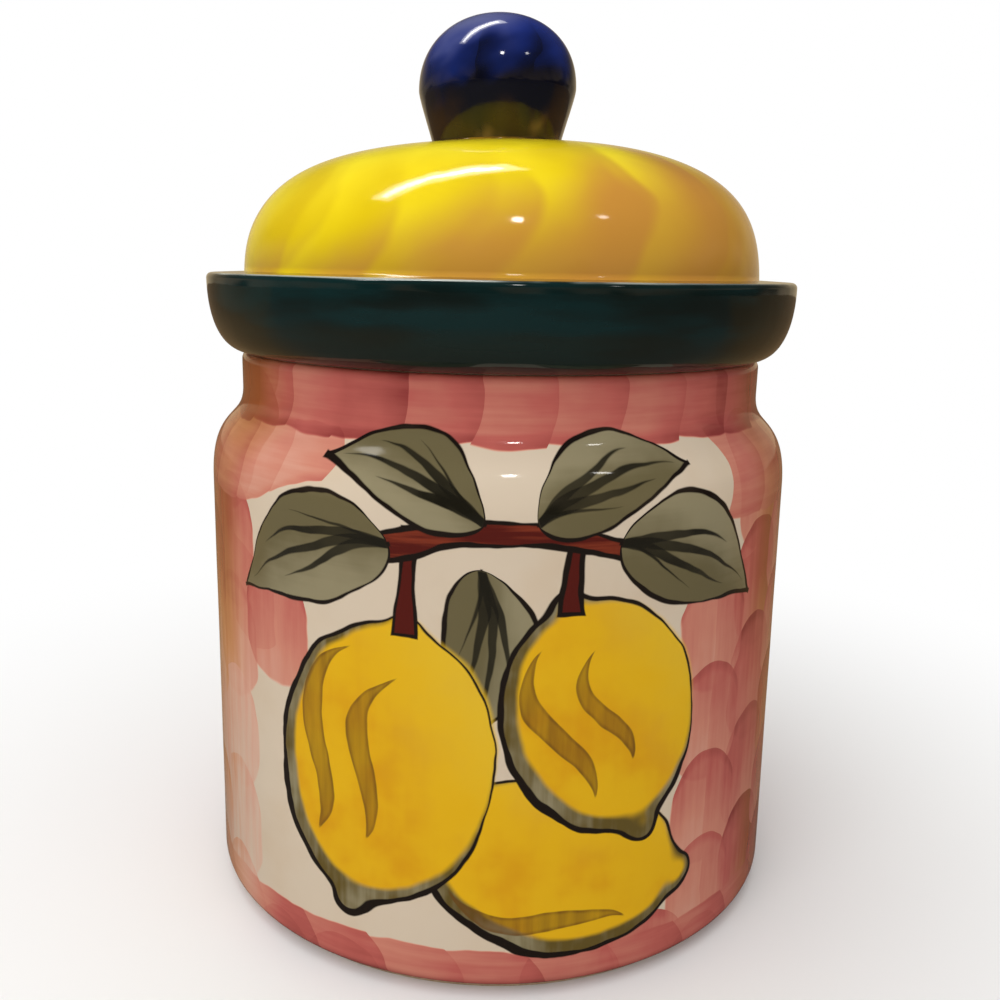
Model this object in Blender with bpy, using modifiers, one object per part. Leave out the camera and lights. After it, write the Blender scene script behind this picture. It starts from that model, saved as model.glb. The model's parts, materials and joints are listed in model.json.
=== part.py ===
"""Glazed earthenware cookie jar: a slip-cast jar, a hollow domed lid, its ball knob and its sealing ring.

Units are metres and +Z is up. Every piece is turned about the Z axis from a section that is worked
out here from named sizes. The jar's heights are taken from the table, the lid's and the sealing
ring's from the lid's seat on the jar's rim, and the knob's from its seat on the lid's crown.
"""

import math

import bpy
from mathutils import Vector

# Jar, outside
BODY_RADIUS = 0.0861
BODY_TAPER = 0.0011
BASE_CORNER_RADIUS = 0.0038
FOOT_INSET = 0.0040
FOOT_HEIGHT = 0.0022
FOOT_RING_WIDTH = 0.0068
FOOT_EDGE_BEVEL = 0.0006
FOOT_RECESS_DEPTH = 0.0030
SHOULDER_HEIGHT = 0.0258
SHOULDER_FULLNESS = 0.0198
SHOULDER_FILLET_REACH = 0.0110
SHOULDER_SETBACK = 0.0092
NECK_HEIGHT = 0.0098
JAR_HEIGHT = 0.1568
LIP_OUTER_ROUNDING = 0.0022
LIP_INNER_ROUNDING = 0.0016

# Jar, inside
JAR_WALL = 0.0060
FLOOR_THICKNESS = 0.0045
FLOOR_CORNER_RADIUS = 0.0100

# Lid
LID_WALL = 0.0050
LID_SEAT_GAP = 0.0003
SEAT_INSET = 0.0014
FLANGE_OVERHANG = 0.0089
FLANGE_SIDE_HEIGHT = 0.0198
FLANGE_SQUARENESS = 2.3
FLANGE_EDGE_ROUNDING = 0.0015
FLANGE_TOP_RISE = 0.0004
FLANGE_INNER_FILLET = 0.0018
DOME_INSET = 0.0013
DOME_DEPTH_IN_FLANGE = 0.0078
DOME_HEIGHT = 0.0438
DOME_SQUARENESS = 3.0
CROWN_FLAT_MARGIN = 0.0009
CROWN_HOLE_RADIUS = 0.0110

# Locating plug under the lid, and the groove for its sealing ring
PLUG_CLEARANCE = 0.0013
PLUG_DEPTH = 0.0110
PLUG_EDGE_ROUNDING = 0.0016
GROOVE_DEPTH = 0.0020
GROOVE_HEIGHT = 0.0052

# Sealing ring
SEAL_CLEARANCE = 0.0003
SEAL_BAND = 0.0016
SEAL_FIN_ROOT = 0.0010
SEAL_FIN_TIP = 0.0005
SEAL_FIN_INSET = 0.0004

# Ball knob
KNOB_RADIUS = 0.0224
KNOB_WALL = 0.0050
KNOB_CAP_HEIGHT = 0.0202
KNOB_TAPER_HEIGHT = 0.0153
KNOB_TAPER = 0.0040
KNOB_UPPER_REACH = 0.0020
KNOB_LOWER_REACH = 0.0040
KNOB_STEM_FLARE = 0.0010
KNOB_SQUARENESS = 2.15
KNOB_STEM_ROUNDING = 0.0008
KNOB_SEAT_GAP = 0.0003
SPIGOT_CLEARANCE = 0.0003
SPIGOT_WALL = 0.0032
SPIGOT_END_INSET = 0.0004
KNOB_THROAT_HEIGHT = 0.0028

# Facets round each turned piece, and steps along its curves
BODY_FACETS = 56
KNOB_FACETS = 40
CURVE_STEPS = 7
CORNER_STEPS = 3
EDGE_STEPS = 2
DOME_STEPS = 9
SMOOTH_BELOW_DEGREES = 38

# Radii that several pieces share
SHOULDER_RADIUS = BODY_RADIUS - BODY_TAPER
NECK_RADIUS = SHOULDER_RADIUS - SHOULDER_SETBACK
NECK_BORE_RADIUS = NECK_RADIUS - JAR_WALL
FLANGE_RADIUS = NECK_RADIUS + FLANGE_OVERHANG
FLANGE_SEAT_RADIUS = NECK_RADIUS - SEAT_INSET
DOME_RADIUS = NECK_RADIUS - DOME_INSET
PLUG_RADIUS = NECK_BORE_RADIUS - PLUG_CLEARANCE
GROOVE_FLOOR_RADIUS = PLUG_RADIUS - GROOVE_DEPTH
KNOB_STEM_RADIUS = KNOB_RADIUS - KNOB_TAPER
CROWN_FLAT_RADIUS = KNOB_STEM_RADIUS + CROWN_FLAT_MARGIN

# Heights above the lid's seat that several pieces share
FLANGE_TOP_HEIGHT = FLANGE_SIDE_HEIGHT + FLANGE_EDGE_ROUNDING
DOME_FOOT_HEIGHT = FLANGE_TOP_HEIGHT + FLANGE_TOP_RISE
DOME_SPRING_HEIGHT = DOME_FOOT_HEIGHT - DOME_DEPTH_IN_FLANGE
GROOVE_TOP_HEIGHT = (GROOVE_HEIGHT - PLUG_DEPTH) / 2
GROOVE_BOTTOM_HEIGHT = GROOVE_TOP_HEIGHT - GROOVE_HEIGHT


def dome_height(radius, height, at_radius):
    """How high a squared ellipse's surface is above the lid's seat, at a distance from its axis."""
    share = (at_radius / radius) ** DOME_SQUARENESS
    return DOME_SPRING_HEIGHT + height * (1 - share) ** (1 / DOME_SQUARENESS)


CROWN_HEIGHT = dome_height(DOME_RADIUS, DOME_HEIGHT, CROWN_FLAT_RADIUS)
CROWN_CEILING_HEIGHT = dome_height(DOME_RADIUS - LID_WALL, DOME_HEIGHT - LID_WALL, CROWN_FLAT_RADIUS)


def dome_line(radius, height):
    """Points on a squared ellipse, from the edge of the crown's flat down to the dome's foot."""
    top = math.acos((CROWN_FLAT_RADIUS / radius) ** (DOME_SQUARENESS / 2))
    foot = math.asin((DOME_DEPTH_IN_FLANGE / height) ** (DOME_SQUARENESS / 2))
    points = []
    for i in range(DOME_STEPS + 1):
        angle = top + (foot - top) * i / DOME_STEPS
        across = radius * math.cos(angle) ** (2 / DOME_SQUARENESS)
        up = height * math.sin(angle) ** (2 / DOME_SQUARENESS)
        points.append((across, DOME_SPRING_HEIGHT + up))
    return points


def bowl_line(width, height, first_degrees, last_degrees, steps):
    """Points on the flange's bowl, a squared ellipse that is widest at its top edge and ends at the seat."""
    points = []
    for i in range(steps + 1):
        angle = math.radians(first_degrees + (last_degrees - first_degrees) * i / steps)
        across = width * math.cos(angle) ** (2 / FLANGE_SQUARENESS)
        down = height * math.sin(angle) ** (2 / FLANGE_SQUARENESS)
        points.append((FLANGE_SEAT_RADIUS + across, FLANGE_SIDE_HEIGHT - down))
    return points


def cap_line(radius, height, steps):
    """Points on a squared ellipse about the knob's middle, from its top down to its widest place."""
    points = []
    for i in range(steps + 1):
        angle = math.radians(90 * (1 - i / steps))
        across = radius * math.cos(angle) ** (2 / KNOB_SQUARENESS)
        points.append((across, KNOB_TAPER_HEIGHT + height * math.sin(angle) ** (2 / KNOB_SQUARENESS)))
    return points


def arc(centre, across, up, first_degrees, last_degrees, steps=CORNER_STEPS):
    """Points on an ellipse's arc, from one angle to another, both ends included."""
    points = []
    for i in range(steps + 1):
        angle = math.radians(first_degrees + (last_degrees - first_degrees) * i / steps)
        points.append((centre[0] + across * math.cos(angle), centre[1] + up * math.sin(angle)))
    return points


def bezier(start, start_handle, end_handle, end, steps=CURVE_STEPS):
    """Points on a cubic curve, both ends included."""
    corners = (start, start_handle, end_handle, end)
    points = []
    for i in range(steps + 1):
        t = i / steps
        weights = ((1 - t) ** 3, 3 * t * (1 - t) ** 2, 3 * t * t * (1 - t), t**3)
        points.append(tuple(sum(w * c[axis] for w, c in zip(weights, corners)) for axis in (0, 1)))
    return points


def offset(points, distance):
    """The same line moved sideways by a distance, to the left of its direction of travel."""
    moved = []
    last = len(points) - 1
    for i, point in enumerate(points):
        before = Vector(points[max(i - 1, 0)])
        after = Vector(points[min(i + 1, last)])
        along = (after - before).normalized()
        moved.append((point[0] - along.y * distance, point[1] + along.x * distance))
    return moved


def jar_section():
    """The jar's half section, from the middle of its floor, over the lip, to the middle of its base."""
    neck_foot = JAR_HEIGHT - NECK_HEIGHT
    shoulder_foot = neck_foot - SHOULDER_HEIGHT
    shoulder = bezier(
        (SHOULDER_RADIUS, shoulder_foot),
        (SHOULDER_RADIUS, shoulder_foot + SHOULDER_FULLNESS),
        (NECK_RADIUS, neck_foot - SHOULDER_FILLET_REACH),
        (NECK_RADIUS, neck_foot),
    )
    floor_height = FOOT_RECESS_DEPTH + FLOOR_THICKNESS
    floor_edge = (BODY_RADIUS - JAR_WALL - FLOOR_CORNER_RADIUS, floor_height + FLOOR_CORNER_RADIUS)
    inner_lip = (NECK_BORE_RADIUS + LIP_INNER_ROUNDING, JAR_HEIGHT - LIP_INNER_ROUNDING)
    outer_lip = (NECK_RADIUS - LIP_OUTER_ROUNDING, JAR_HEIGHT - LIP_OUTER_ROUNDING)
    base_edge = (BODY_RADIUS - BASE_CORNER_RADIUS, FOOT_HEIGHT + BASE_CORNER_RADIUS)
    foot_radius = BODY_RADIUS - FOOT_INSET
    foot_bore_radius = foot_radius - FOOT_RING_WIDTH

    section = [(0.0, floor_height)]
    section += arc(floor_edge, FLOOR_CORNER_RADIUS, FLOOR_CORNER_RADIUS, -90, 0)
    section += offset(shoulder, JAR_WALL)
    section += arc(inner_lip, LIP_INNER_ROUNDING, LIP_INNER_ROUNDING, 180, 90)
    section += arc(outer_lip, LIP_OUTER_ROUNDING, LIP_OUTER_ROUNDING, 90, 0)
    section += reversed(shoulder)
    section += arc(base_edge, BASE_CORNER_RADIUS, BASE_CORNER_RADIUS, 0, -72)
    section += [(foot_radius, FOOT_EDGE_BEVEL * 2), (foot_radius - FOOT_EDGE_BEVEL, 0.0)]
    section += [(foot_bore_radius, 0.0), (foot_bore_radius - FOOT_RECESS_DEPTH, FOOT_RECESS_DEPTH)]
    section += [(0.0, FOOT_RECESS_DEPTH)]
    return section


def lid_section():
    """The lid's closed section: crown, dome, flange, seat and plug outside, then the cast hollow inside."""
    side_width = FLANGE_RADIUS - FLANGE_SEAT_RADIUS
    top_edge = (FLANGE_RADIUS - FLANGE_EDGE_ROUNDING, FLANGE_SIDE_HEIGHT)
    dome = dome_line(DOME_RADIUS, DOME_HEIGHT)

    plug_bore_radius = PLUG_RADIUS - LID_WALL
    plug_edge_height = PLUG_EDGE_ROUNDING - PLUG_DEPTH
    plug_outer_edge = (PLUG_RADIUS - PLUG_EDGE_ROUNDING, plug_edge_height)
    plug_inner_edge = (plug_bore_radius + PLUG_EDGE_ROUNDING, plug_edge_height)

    hollow_width = side_width - LID_WALL
    hollow_height = FLANGE_SIDE_HEIGHT - LID_WALL
    fillet_height = FLANGE_TOP_HEIGHT - LID_WALL - FLANGE_INNER_FILLET
    fillet = (FLANGE_RADIUS - LID_WALL - FLANGE_INNER_FILLET, fillet_height)
    hollow_top_share = (FLANGE_SIDE_HEIGHT - fillet_height) / hollow_height
    hollow_top_degrees = math.degrees(math.asin(hollow_top_share ** (FLANGE_SQUARENESS / 2)))
    ceiling = dome_line(DOME_RADIUS - LID_WALL, DOME_HEIGHT - LID_WALL)

    section = [(CROWN_HOLE_RADIUS, CROWN_HEIGHT)]
    section += dome
    section += arc(top_edge, FLANGE_EDGE_ROUNDING, FLANGE_EDGE_ROUNDING, 90, 0)
    section += bowl_line(side_width, FLANGE_SIDE_HEIGHT, 9, 90, CURVE_STEPS)
    section += [(PLUG_RADIUS, 0.0), (PLUG_RADIUS, GROOVE_TOP_HEIGHT)]
    section += [(GROOVE_FLOOR_RADIUS, GROOVE_TOP_HEIGHT), (GROOVE_FLOOR_RADIUS, GROOVE_BOTTOM_HEIGHT)]
    section += [(PLUG_RADIUS, GROOVE_BOTTOM_HEIGHT)]
    section += arc(plug_outer_edge, PLUG_EDGE_ROUNDING, PLUG_EDGE_ROUNDING, 0, -90, EDGE_STEPS)
    section += arc(plug_inner_edge, PLUG_EDGE_ROUNDING, PLUG_EDGE_ROUNDING, -90, -180, EDGE_STEPS)
    section += [(plug_bore_radius, LID_WALL)]
    section += bowl_line(hollow_width, hollow_height, 90, hollow_top_degrees, CURVE_STEPS - 2)
    section += arc(fillet, FLANGE_INNER_FILLET, FLANGE_INNER_FILLET, 35, 90, EDGE_STEPS)
    section += arc(dome[-1], LID_WALL, LID_WALL, 270, 195)
    section += reversed(ceiling)
    section += [(CROWN_HOLE_RADIUS, CROWN_CEILING_HEIGHT)]
    return section


def seal_section():
    """The sealing ring's closed section: a band in the lid's groove, with fins that reach the jar's bore."""
    inner_radius = GROOVE_FLOOR_RADIUS + SEAL_CLEARANCE
    band_radius = inner_radius + SEAL_BAND
    fin_radius = NECK_BORE_RADIUS - SEAL_CLEARANCE
    top = GROOVE_TOP_HEIGHT - SEAL_CLEARANCE
    bottom = GROOVE_BOTTOM_HEIGHT + SEAL_CLEARANCE

    section = [(inner_radius, top), (band_radius, top)]
    for fin_top in (top - SEAL_FIN_INSET, bottom + SEAL_FIN_INSET + SEAL_FIN_ROOT):
        section += [(band_radius, fin_top), (fin_radius, fin_top)]
        section += [(fin_radius, fin_top - SEAL_FIN_TIP), (band_radius, fin_top - SEAL_FIN_ROOT)]
    section += [(band_radius, bottom), (inner_radius, bottom)]
    return section


def knob_section():
    """The knob's half section: cap, taper, seat and spigot outside, then the cast hollow up to its top."""
    stem_edge = (KNOB_STEM_RADIUS - KNOB_STEM_ROUNDING, KNOB_STEM_ROUNDING)
    spigot_radius = CROWN_HOLE_RADIUS - SPIGOT_CLEARANCE
    throat_radius = spigot_radius - SPIGOT_WALL
    spigot_end = CROWN_CEILING_HEIGHT + SPIGOT_END_INSET - CROWN_HEIGHT - KNOB_SEAT_GAP
    hollow_radius = KNOB_RADIUS - KNOB_WALL
    hollow_cap_height = KNOB_CAP_HEIGHT - KNOB_WALL

    section = cap_line(KNOB_RADIUS, KNOB_CAP_HEIGHT, CURVE_STEPS)
    section += bezier(
        (KNOB_RADIUS, KNOB_TAPER_HEIGHT),
        (KNOB_RADIUS, KNOB_TAPER_HEIGHT - KNOB_UPPER_REACH),
        (KNOB_STEM_RADIUS + KNOB_STEM_FLARE, KNOB_STEM_ROUNDING + KNOB_LOWER_REACH),
        (KNOB_STEM_RADIUS, KNOB_STEM_ROUNDING),
    )[1:]
    section += arc(stem_edge, KNOB_STEM_ROUNDING, KNOB_STEM_ROUNDING, 0, -90, EDGE_STEPS)[1:]
    section += [(spigot_radius, 0.0), (spigot_radius, spigot_end), (throat_radius, spigot_end)]
    section += bezier(
        (throat_radius, KNOB_THROAT_HEIGHT),
        ((throat_radius + hollow_radius) / 2, KNOB_THROAT_HEIGHT),
        (hollow_radius, (KNOB_THROAT_HEIGHT + KNOB_TAPER_HEIGHT) / 2),
        (hollow_radius, KNOB_TAPER_HEIGHT),
        CURVE_STEPS - 2,
    )
    section += cap_line(hollow_radius, hollow_cap_height, CURVE_STEPS - 1)[-2::-1]
    return section


def finish(name, colour, roughness, coat=0.0):
    """A plain material: a base colour, and a clear coat where the piece is glazed."""
    material = bpy.data.materials.new(name)
    material.use_nodes = True
    shader = material.node_tree.nodes["Principled BSDF"]
    shader.inputs["Base Color"].default_value = (*colour, 1.0)
    shader.inputs["Roughness"].default_value = roughness
    shader.inputs["Metallic"].default_value = 0.0
    shader.inputs["Coat Weight"].default_value = coat
    return material


def turned_mesh(name, section, facets, closed):
    """A mesh turned about the Z axis by a Screw modifier. A closed section stays clear of the axis."""
    edges = [(i, i + 1) for i in range(len(section) - 1)]
    if closed:
        edges.append((len(section) - 1, 0))
    profile = bpy.data.meshes.new(name + "_section")
    profile.from_pydata([(radius, 0.0, height) for radius, height in section], edges, [])
    lathe = bpy.data.objects.new(name + "_section", profile)
    bpy.context.scene.collection.objects.link(lathe)
    screw = lathe.modifiers.new("turn", "SCREW")
    screw.angle = math.tau
    screw.steps = facets
    screw.render_steps = facets
    screw.use_merge_vertices = True
    screw.merge_threshold = 0.00001
    turned = bpy.data.meshes.new_from_object(lathe.evaluated_get(bpy.context.evaluated_depsgraph_get()))
    bpy.data.objects.remove(lathe)
    bpy.data.meshes.remove(profile)
    turned.name = name
    turned.shade_smooth()
    turned.set_sharp_from_angle(angle=math.radians(SMOOTH_BELOW_DEGREES))
    return turned


def place(collection, name, data, height=0.0, parent=None):
    """Adds a mesh, or an empty where there is no data, on the Z axis at a height above its parent."""
    piece = bpy.data.objects.new(name, data)
    collection.objects.link(piece)
    piece.parent = parent
    piece.location.z = height
    return piece


def build_jar(collection):
    """The jar itself: floor, wall, shoulder, neck, lip and foot ring in one casting."""
    jar = turned_mesh("jar_body", jar_section(), BODY_FACETS, closed=False)
    jar.materials.append(finish("rose_glaze", (0.72, 0.33, 0.33), 0.12, 1.0))
    place(collection, "jar_body", jar)


def build_lid(collection):
    """The lid with its knob, which turn in the sealing ring, and the ring, which lifts out with them."""
    lift = place(collection, "lid_lift", None, JAR_HEIGHT + LID_SEAT_GAP)
    turn = place(collection, "lid_turn", None, 0.0, lift)

    seal = turned_mesh("lid_seal", seal_section(), BODY_FACETS, closed=True)
    seal.materials.append(finish("silicone", (0.83, 0.82, 0.78), 0.45))
    place(collection, "lid_seal", seal, 0.0, lift)

    shell = turned_mesh("lid_shell", lid_section(), BODY_FACETS, closed=True)
    shell.materials.append(finish("yellow_glaze", (0.86, 0.62, 0.03), 0.12, 1.0))
    place(collection, "lid_shell", shell, 0.0, turn)

    knob = turned_mesh("lid_knob", knob_section(), KNOB_FACETS, closed=False)
    knob.materials.append(finish("cobalt_glaze", (0.015, 0.03, 0.19), 0.10, 1.0))
    place(collection, "lid_knob", knob, CROWN_HEIGHT + KNOB_SEAT_GAP, turn)


def main():
    """Clears the scene and models the jar with its lid on."""
    for old in list(bpy.data.objects):
        bpy.data.objects.remove(old)
    collection = bpy.data.collections.new("cookie_jar")
    bpy.context.scene.collection.children.link(collection)
    build_jar(collection)
    build_lid(collection)


main()
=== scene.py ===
"""The looks of a hand-painted cookie jar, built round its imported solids.

Each glazed piece is turned again from its section, finely enough to look round, and replaces its
plain solid. The painting is made by shaders that work in millimetres round and up the jar.
"""

from __future__ import annotations

import json
import logging
import math
from collections.abc import Callable, Sequence
from dataclasses import dataclass
from enum import Enum
from typing import Any

import bmesh
import bpy
from mathutils import Euler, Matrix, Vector

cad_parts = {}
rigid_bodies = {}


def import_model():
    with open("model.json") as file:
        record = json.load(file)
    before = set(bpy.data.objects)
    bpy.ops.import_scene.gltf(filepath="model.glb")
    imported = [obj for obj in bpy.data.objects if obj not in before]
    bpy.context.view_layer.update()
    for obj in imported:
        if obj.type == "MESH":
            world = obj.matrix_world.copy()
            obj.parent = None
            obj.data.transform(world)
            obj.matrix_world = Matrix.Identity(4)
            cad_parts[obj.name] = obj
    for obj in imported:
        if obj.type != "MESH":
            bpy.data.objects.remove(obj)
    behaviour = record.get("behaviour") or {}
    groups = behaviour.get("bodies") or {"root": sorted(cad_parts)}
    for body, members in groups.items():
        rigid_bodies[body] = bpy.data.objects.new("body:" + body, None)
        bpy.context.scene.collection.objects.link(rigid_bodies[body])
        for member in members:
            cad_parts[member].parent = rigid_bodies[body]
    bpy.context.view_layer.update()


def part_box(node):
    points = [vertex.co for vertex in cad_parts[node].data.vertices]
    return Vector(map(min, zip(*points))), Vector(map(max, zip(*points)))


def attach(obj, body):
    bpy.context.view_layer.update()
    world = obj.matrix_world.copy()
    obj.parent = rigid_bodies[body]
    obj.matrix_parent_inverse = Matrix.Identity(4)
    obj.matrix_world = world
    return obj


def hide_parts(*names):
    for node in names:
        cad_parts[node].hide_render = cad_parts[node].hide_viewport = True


LOG = logging.getLogger("cookie_jar")
MM = 1000.0
WALL_STEP = 0.0025
NECK_STEP = 0.0015
DOME_STEP = 0.0012
BORE_STEP = 0.001
ARC_STEP = 0.0009
CAP_STEP = 0.0008
EDGE_STEP = 0.0006
FOOT_STEP = 0.0005
FINE_STEP = 0.0004
BEVEL_STEP = 0.0003
SAME_POINT = 1e-7
WELD = 1e-6
ROUGH_COUNT = 24
LEAST_COUNT = 6
WOBBLE_SCALE = 26.0

Point = tuple[float, float]
Colour = tuple[float, float, float, float]
WHITE: Colour = (1.0, 1.0, 1.0, 1.0)


class Body(Enum):
    """The bodies that pieces ride on."""

    JAR = "jar"
    SEAL = "seal"
    LID = "lid"


class Slot(Enum):
    """The record's material slots."""

    PAINTED = "painted_glaze"
    YELLOW = "yellow_glaze"
    COBALT = "cobalt_glaze"
    SILICONE = "silicone"


class Skin(Enum):
    """What covers a stretch of a turned section."""

    PAINTED = 0.0
    WHITE = 1.0
    BARE = 2.0


def tint(red: int, green: int, blue: int) -> Colour:
    """Turns a screen colour into the linear one that shaders take.

    Args:
        red: Red, 0 to 255.
        green: Green, 0 to 255.
        blue: Blue, 0 to 255.

    Returns:
        The linear colour, opaque.
    """
    shares = [value / 255 for value in (red, green, blue)]
    linear = [c / 12.92 if c <= 0.04045 else ((c + 0.055) / 1.055) ** 2.4 for c in shares]
    return (linear[0], linear[1], linear[2], 1.0)


def by_math(operation: str, swapped: bool = False) -> Callable[..., Signal]:
    """Makes one of Signal's operators.

    Args:
        operation: What its Math node does.
        swapped: Whether the other value comes first, as in a reflected operator.

    Returns:
        The operator's method.
    """

    def apply(signal: Signal, *others: Value) -> Signal:
        values = (*others, signal) if swapped else (signal, *others)
        return signal.bench.math(operation, *values)

    return apply


class Signal:
    """A socket of a node tree, on which Python's operators add Math nodes.

    So do floor and fract, lesser and greater (of two values), and under (1 where it is less, else 0).
    """

    __add__, __radd__ = by_math("ADD"), by_math("ADD", swapped=True)
    __sub__, __rsub__ = by_math("SUBTRACT"), by_math("SUBTRACT", swapped=True)
    __mul__, __rmul__ = by_math("MULTIPLY"), by_math("MULTIPLY", swapped=True)
    __truediv__, __pow__ = by_math("DIVIDE"), by_math("POWER")
    __abs__, floor, fract = by_math("ABSOLUTE"), by_math("FLOOR"), by_math("FRACT")
    lesser, greater, under = by_math("MINIMUM"), by_math("MAXIMUM"), by_math("LESS_THAN")

    def __init__(self, bench: Bench, socket: bpy.types.NodeSocket) -> None:
        """Wraps an output socket of the bench's tree."""
        self.bench = bench
        self.socket = socket

    def above(self, low: Value, high: Value) -> Signal:
        """Rises smoothly from 0 at low to 1 at high."""
        ends = {"Value": self, "From Min": low, "From Max": high}
        return self.bench.node("ShaderNodeMapRange", {"interpolation_type": "SMOOTHSTEP"}, ends)

    def below(self, low: Value, high: Value) -> Signal:
        """Falls smoothly from 1 at low to 0 at high."""
        return 1 - self.above(low, high)

    def within(self, low: float, full: float, falling: float, high: float) -> Signal:
        """Rises smoothly from 0 at low to 1 at full, and falls again from falling to 0 at high."""
        return self.above(low, full) * self.below(falling, high)

    def swing(self, size: Value) -> Signal:
        """Turns noise about 0.5 into a swing about 0."""
        return (self - 0.5) * size

    def cells(self, count: int) -> tuple[Signal, Signal]:
        """The number of the cell of a ring that this falls in, and how far through the cell it is."""
        return (self.bench.math("FLOORED_MODULO", self.floor(), float(count)), self.fract())


Value = Signal | float


class Bench:
    """A node tree in the making, of a material or of geometry."""

    def __init__(self, tree: bpy.types.NodeTree) -> None:
        """Starts on a tree."""
        self.tree = tree

    def node(
        self,
        kind: str,
        settings: dict[str, Any] | None = None,
        inputs: dict[str | int, Any] | None = None,
        output: str | int = 0,
    ) -> Signal:
        """Adds a node.

        Args:
            kind: The node's type.
            settings: Its properties, set first; "stops" are a ramp's places and colours.
            inputs: Values or signals for its sockets, by name or number.
            output: The socket that is wanted, by name or number.

        Returns:
            That output socket.
        """
        made = self.tree.nodes.new(kind)
        for name, value in (settings or {}).items():
            if name == "stops":
                elements = made.color_ramp.elements
                while len(elements) < len(value):
                    elements.new(1.0)
                for element, (place, colour) in zip(elements, value):
                    element.position = place
                    element.color = colour
            else:
                setattr(made, name, value)
        for key, value in (inputs or {}).items():
            if isinstance(value, Signal):
                self.tree.links.new(value.socket, made.inputs[key])
            else:
                made.inputs[key].default_value = value
        return Signal(self, made.outputs[output])

    def feed(self, node: bpy.types.Node, socket: str | int, signal: Signal) -> None:
        """Links a signal to a socket of a node."""
        self.tree.links.new(signal.socket, node.inputs[socket])

    def outputs(self, kind: str, *names: str) -> list[Signal]:
        """Adds a node and gives several of its output sockets."""
        sockets = self.node(kind).socket.node.outputs
        return [Signal(self, sockets[name]) for name in names]

    def math(self, operation: str, *values: Value) -> Signal:
        """Adds a Math node on values or signals."""
        return self.node("ShaderNodeMath", {"operation": operation}, dict(enumerate(values)))

    def vector(self, x: Value, y: Value, z: Value = 0.0) -> Signal:
        """Joins three numbers into a vector."""
        return self.node("ShaderNodeCombineXYZ", inputs={0: x, 1: y, 2: z})

    def parts(self, vector: Signal) -> tuple[Signal, ...]:
        """Splits a vector, or a colour, into its three numbers."""
        sockets = self.node("ShaderNodeSeparateXYZ", inputs={0: vector}).socket.node.outputs
        return tuple(Signal(self, socket) for socket in sockets)

    def vector_math(
        self, operation: str, *values: Signal | Sequence[float], output: str | int = 0
    ) -> Signal:
        """Adds a Vector Math node, which gives a vector unless its number is asked for."""
        inputs = dict(enumerate(values))
        return self.node("ShaderNodeVectorMath", {"operation": operation}, inputs, output)

    def length(self, vector: Signal) -> Signal:
        """The length of a vector."""
        return self.vector_math("LENGTH", vector, output="Value")

    def dot(self, vector: Signal, direction: Sequence[float]) -> Signal:
        """How far a vector reaches along a direction."""
        return self.vector_math("DOT_PRODUCT", vector, direction, output="Value")

    def mix(self, share: Value, first: Signal | Colour, second: Signal | Colour) -> Signal:
        """A colour between two, by a share of the second."""
        return self.node("ShaderNodeMix", {"data_type": "RGBA"}, {0: share, 6: first, 7: second}, 2)

    def noise(self, place: Signal, scale: float, detail: float = 2.0, output: str | int = 0) -> Signal:
        """Soft cloudy noise about 0.5."""
        inputs = {"Vector": place, "Scale": scale, "Detail": detail}
        return self.node("ShaderNodeTexNoise", inputs=inputs, output=output)

    def angle(self, x: Signal, y: Signal) -> Signal:
        """The angle round the jar's axis, from the front to the right."""
        return self.math("ARCTAN2", x, y * -1)

    def streaks(self, place: Signal, across: float, up: float) -> Signal:
        """Noise drawn out along a brush's way, flat or upright."""
        return self.noise(self.vector_math("MULTIPLY", place, (across, across, up)), 1.0, 3.0)

    def noises(self, place: Signal, scale: float) -> tuple[Signal, ...]:
        """Three kinds of soft noise about 0.5 that don't follow each other."""
        return self.parts(self.noise(place, scale, output="Color"))

    def chances(self, first: Value, second: Value, third: Value) -> tuple[Signal, ...]:
        """Three random numbers from 0 to 1 for each whole-numbered place."""
        inputs = {"Vector": self.vector(first, second, third)}
        return self.parts(self.node("ShaderNodeTexWhiteNoise", inputs=inputs, output="Color"))


def start_material(name: str) -> tuple[bpy.types.Material, Bench, bpy.types.Node]:
    """Makes a material, a bench on its tree, and its Principled BSDF."""
    material = bpy.data.materials.new(name)
    material.use_nodes = True
    bench = Bench(material.node_tree)
    return (material, bench, bench.tree.nodes["Principled BSDF"])


def add_object(name: str, data: bpy.types.ID) -> bpy.types.Object:
    """Adds an object to the scene."""
    made = bpy.data.objects.new(name, data)
    bpy.context.scene.collection.objects.link(made)
    return made


class Section:
    """The outline of a turned piece in its half plane, with points close enough to look round."""

    def __init__(self) -> None:
        """Starts without points, in the painted skin."""
        self.points: list[Point] = []
        self.skins: list[float] = []
        self.skin = Skin.PAINTED

    def wear(self, skin: Skin) -> Section:
        """Gives what follows another skin."""
        self.skin = skin
        return self

    def add(self, points: Sequence[Point]) -> Section:
        """Adds points, leaving out one that repeats the last."""
        for point in points:
            if not self.points or math.dist(point, self.points[-1]) > SAME_POINT:
                self.points.append(point)
                self.skins.append(self.skin.value)
        return self

    def run(self, *corners: Point, step: float = WALL_STEP) -> Section:
        """Adds straight runs through corners, from the last point on."""
        for corner in corners:
            start = self.points[-1] if self.points else corner
            count = max(1, math.ceil(math.dist(start, corner) / step))
            self.add([lerp(start, corner, i / count) for i in range(count + 1)])
        return self

    def arc(self, centre: Point, radius: float, first: float, last: float) -> Section:
        """Adds an arc of a circle, from one angle in degrees to another."""
        return self.add(arc(centre, radius, radius, first, last))


def lerp(first: Point, second: Point, share: float) -> Point:
    """A point between two."""
    return tuple(a + (b - a) * share for a, b in zip(first, second))


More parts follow.
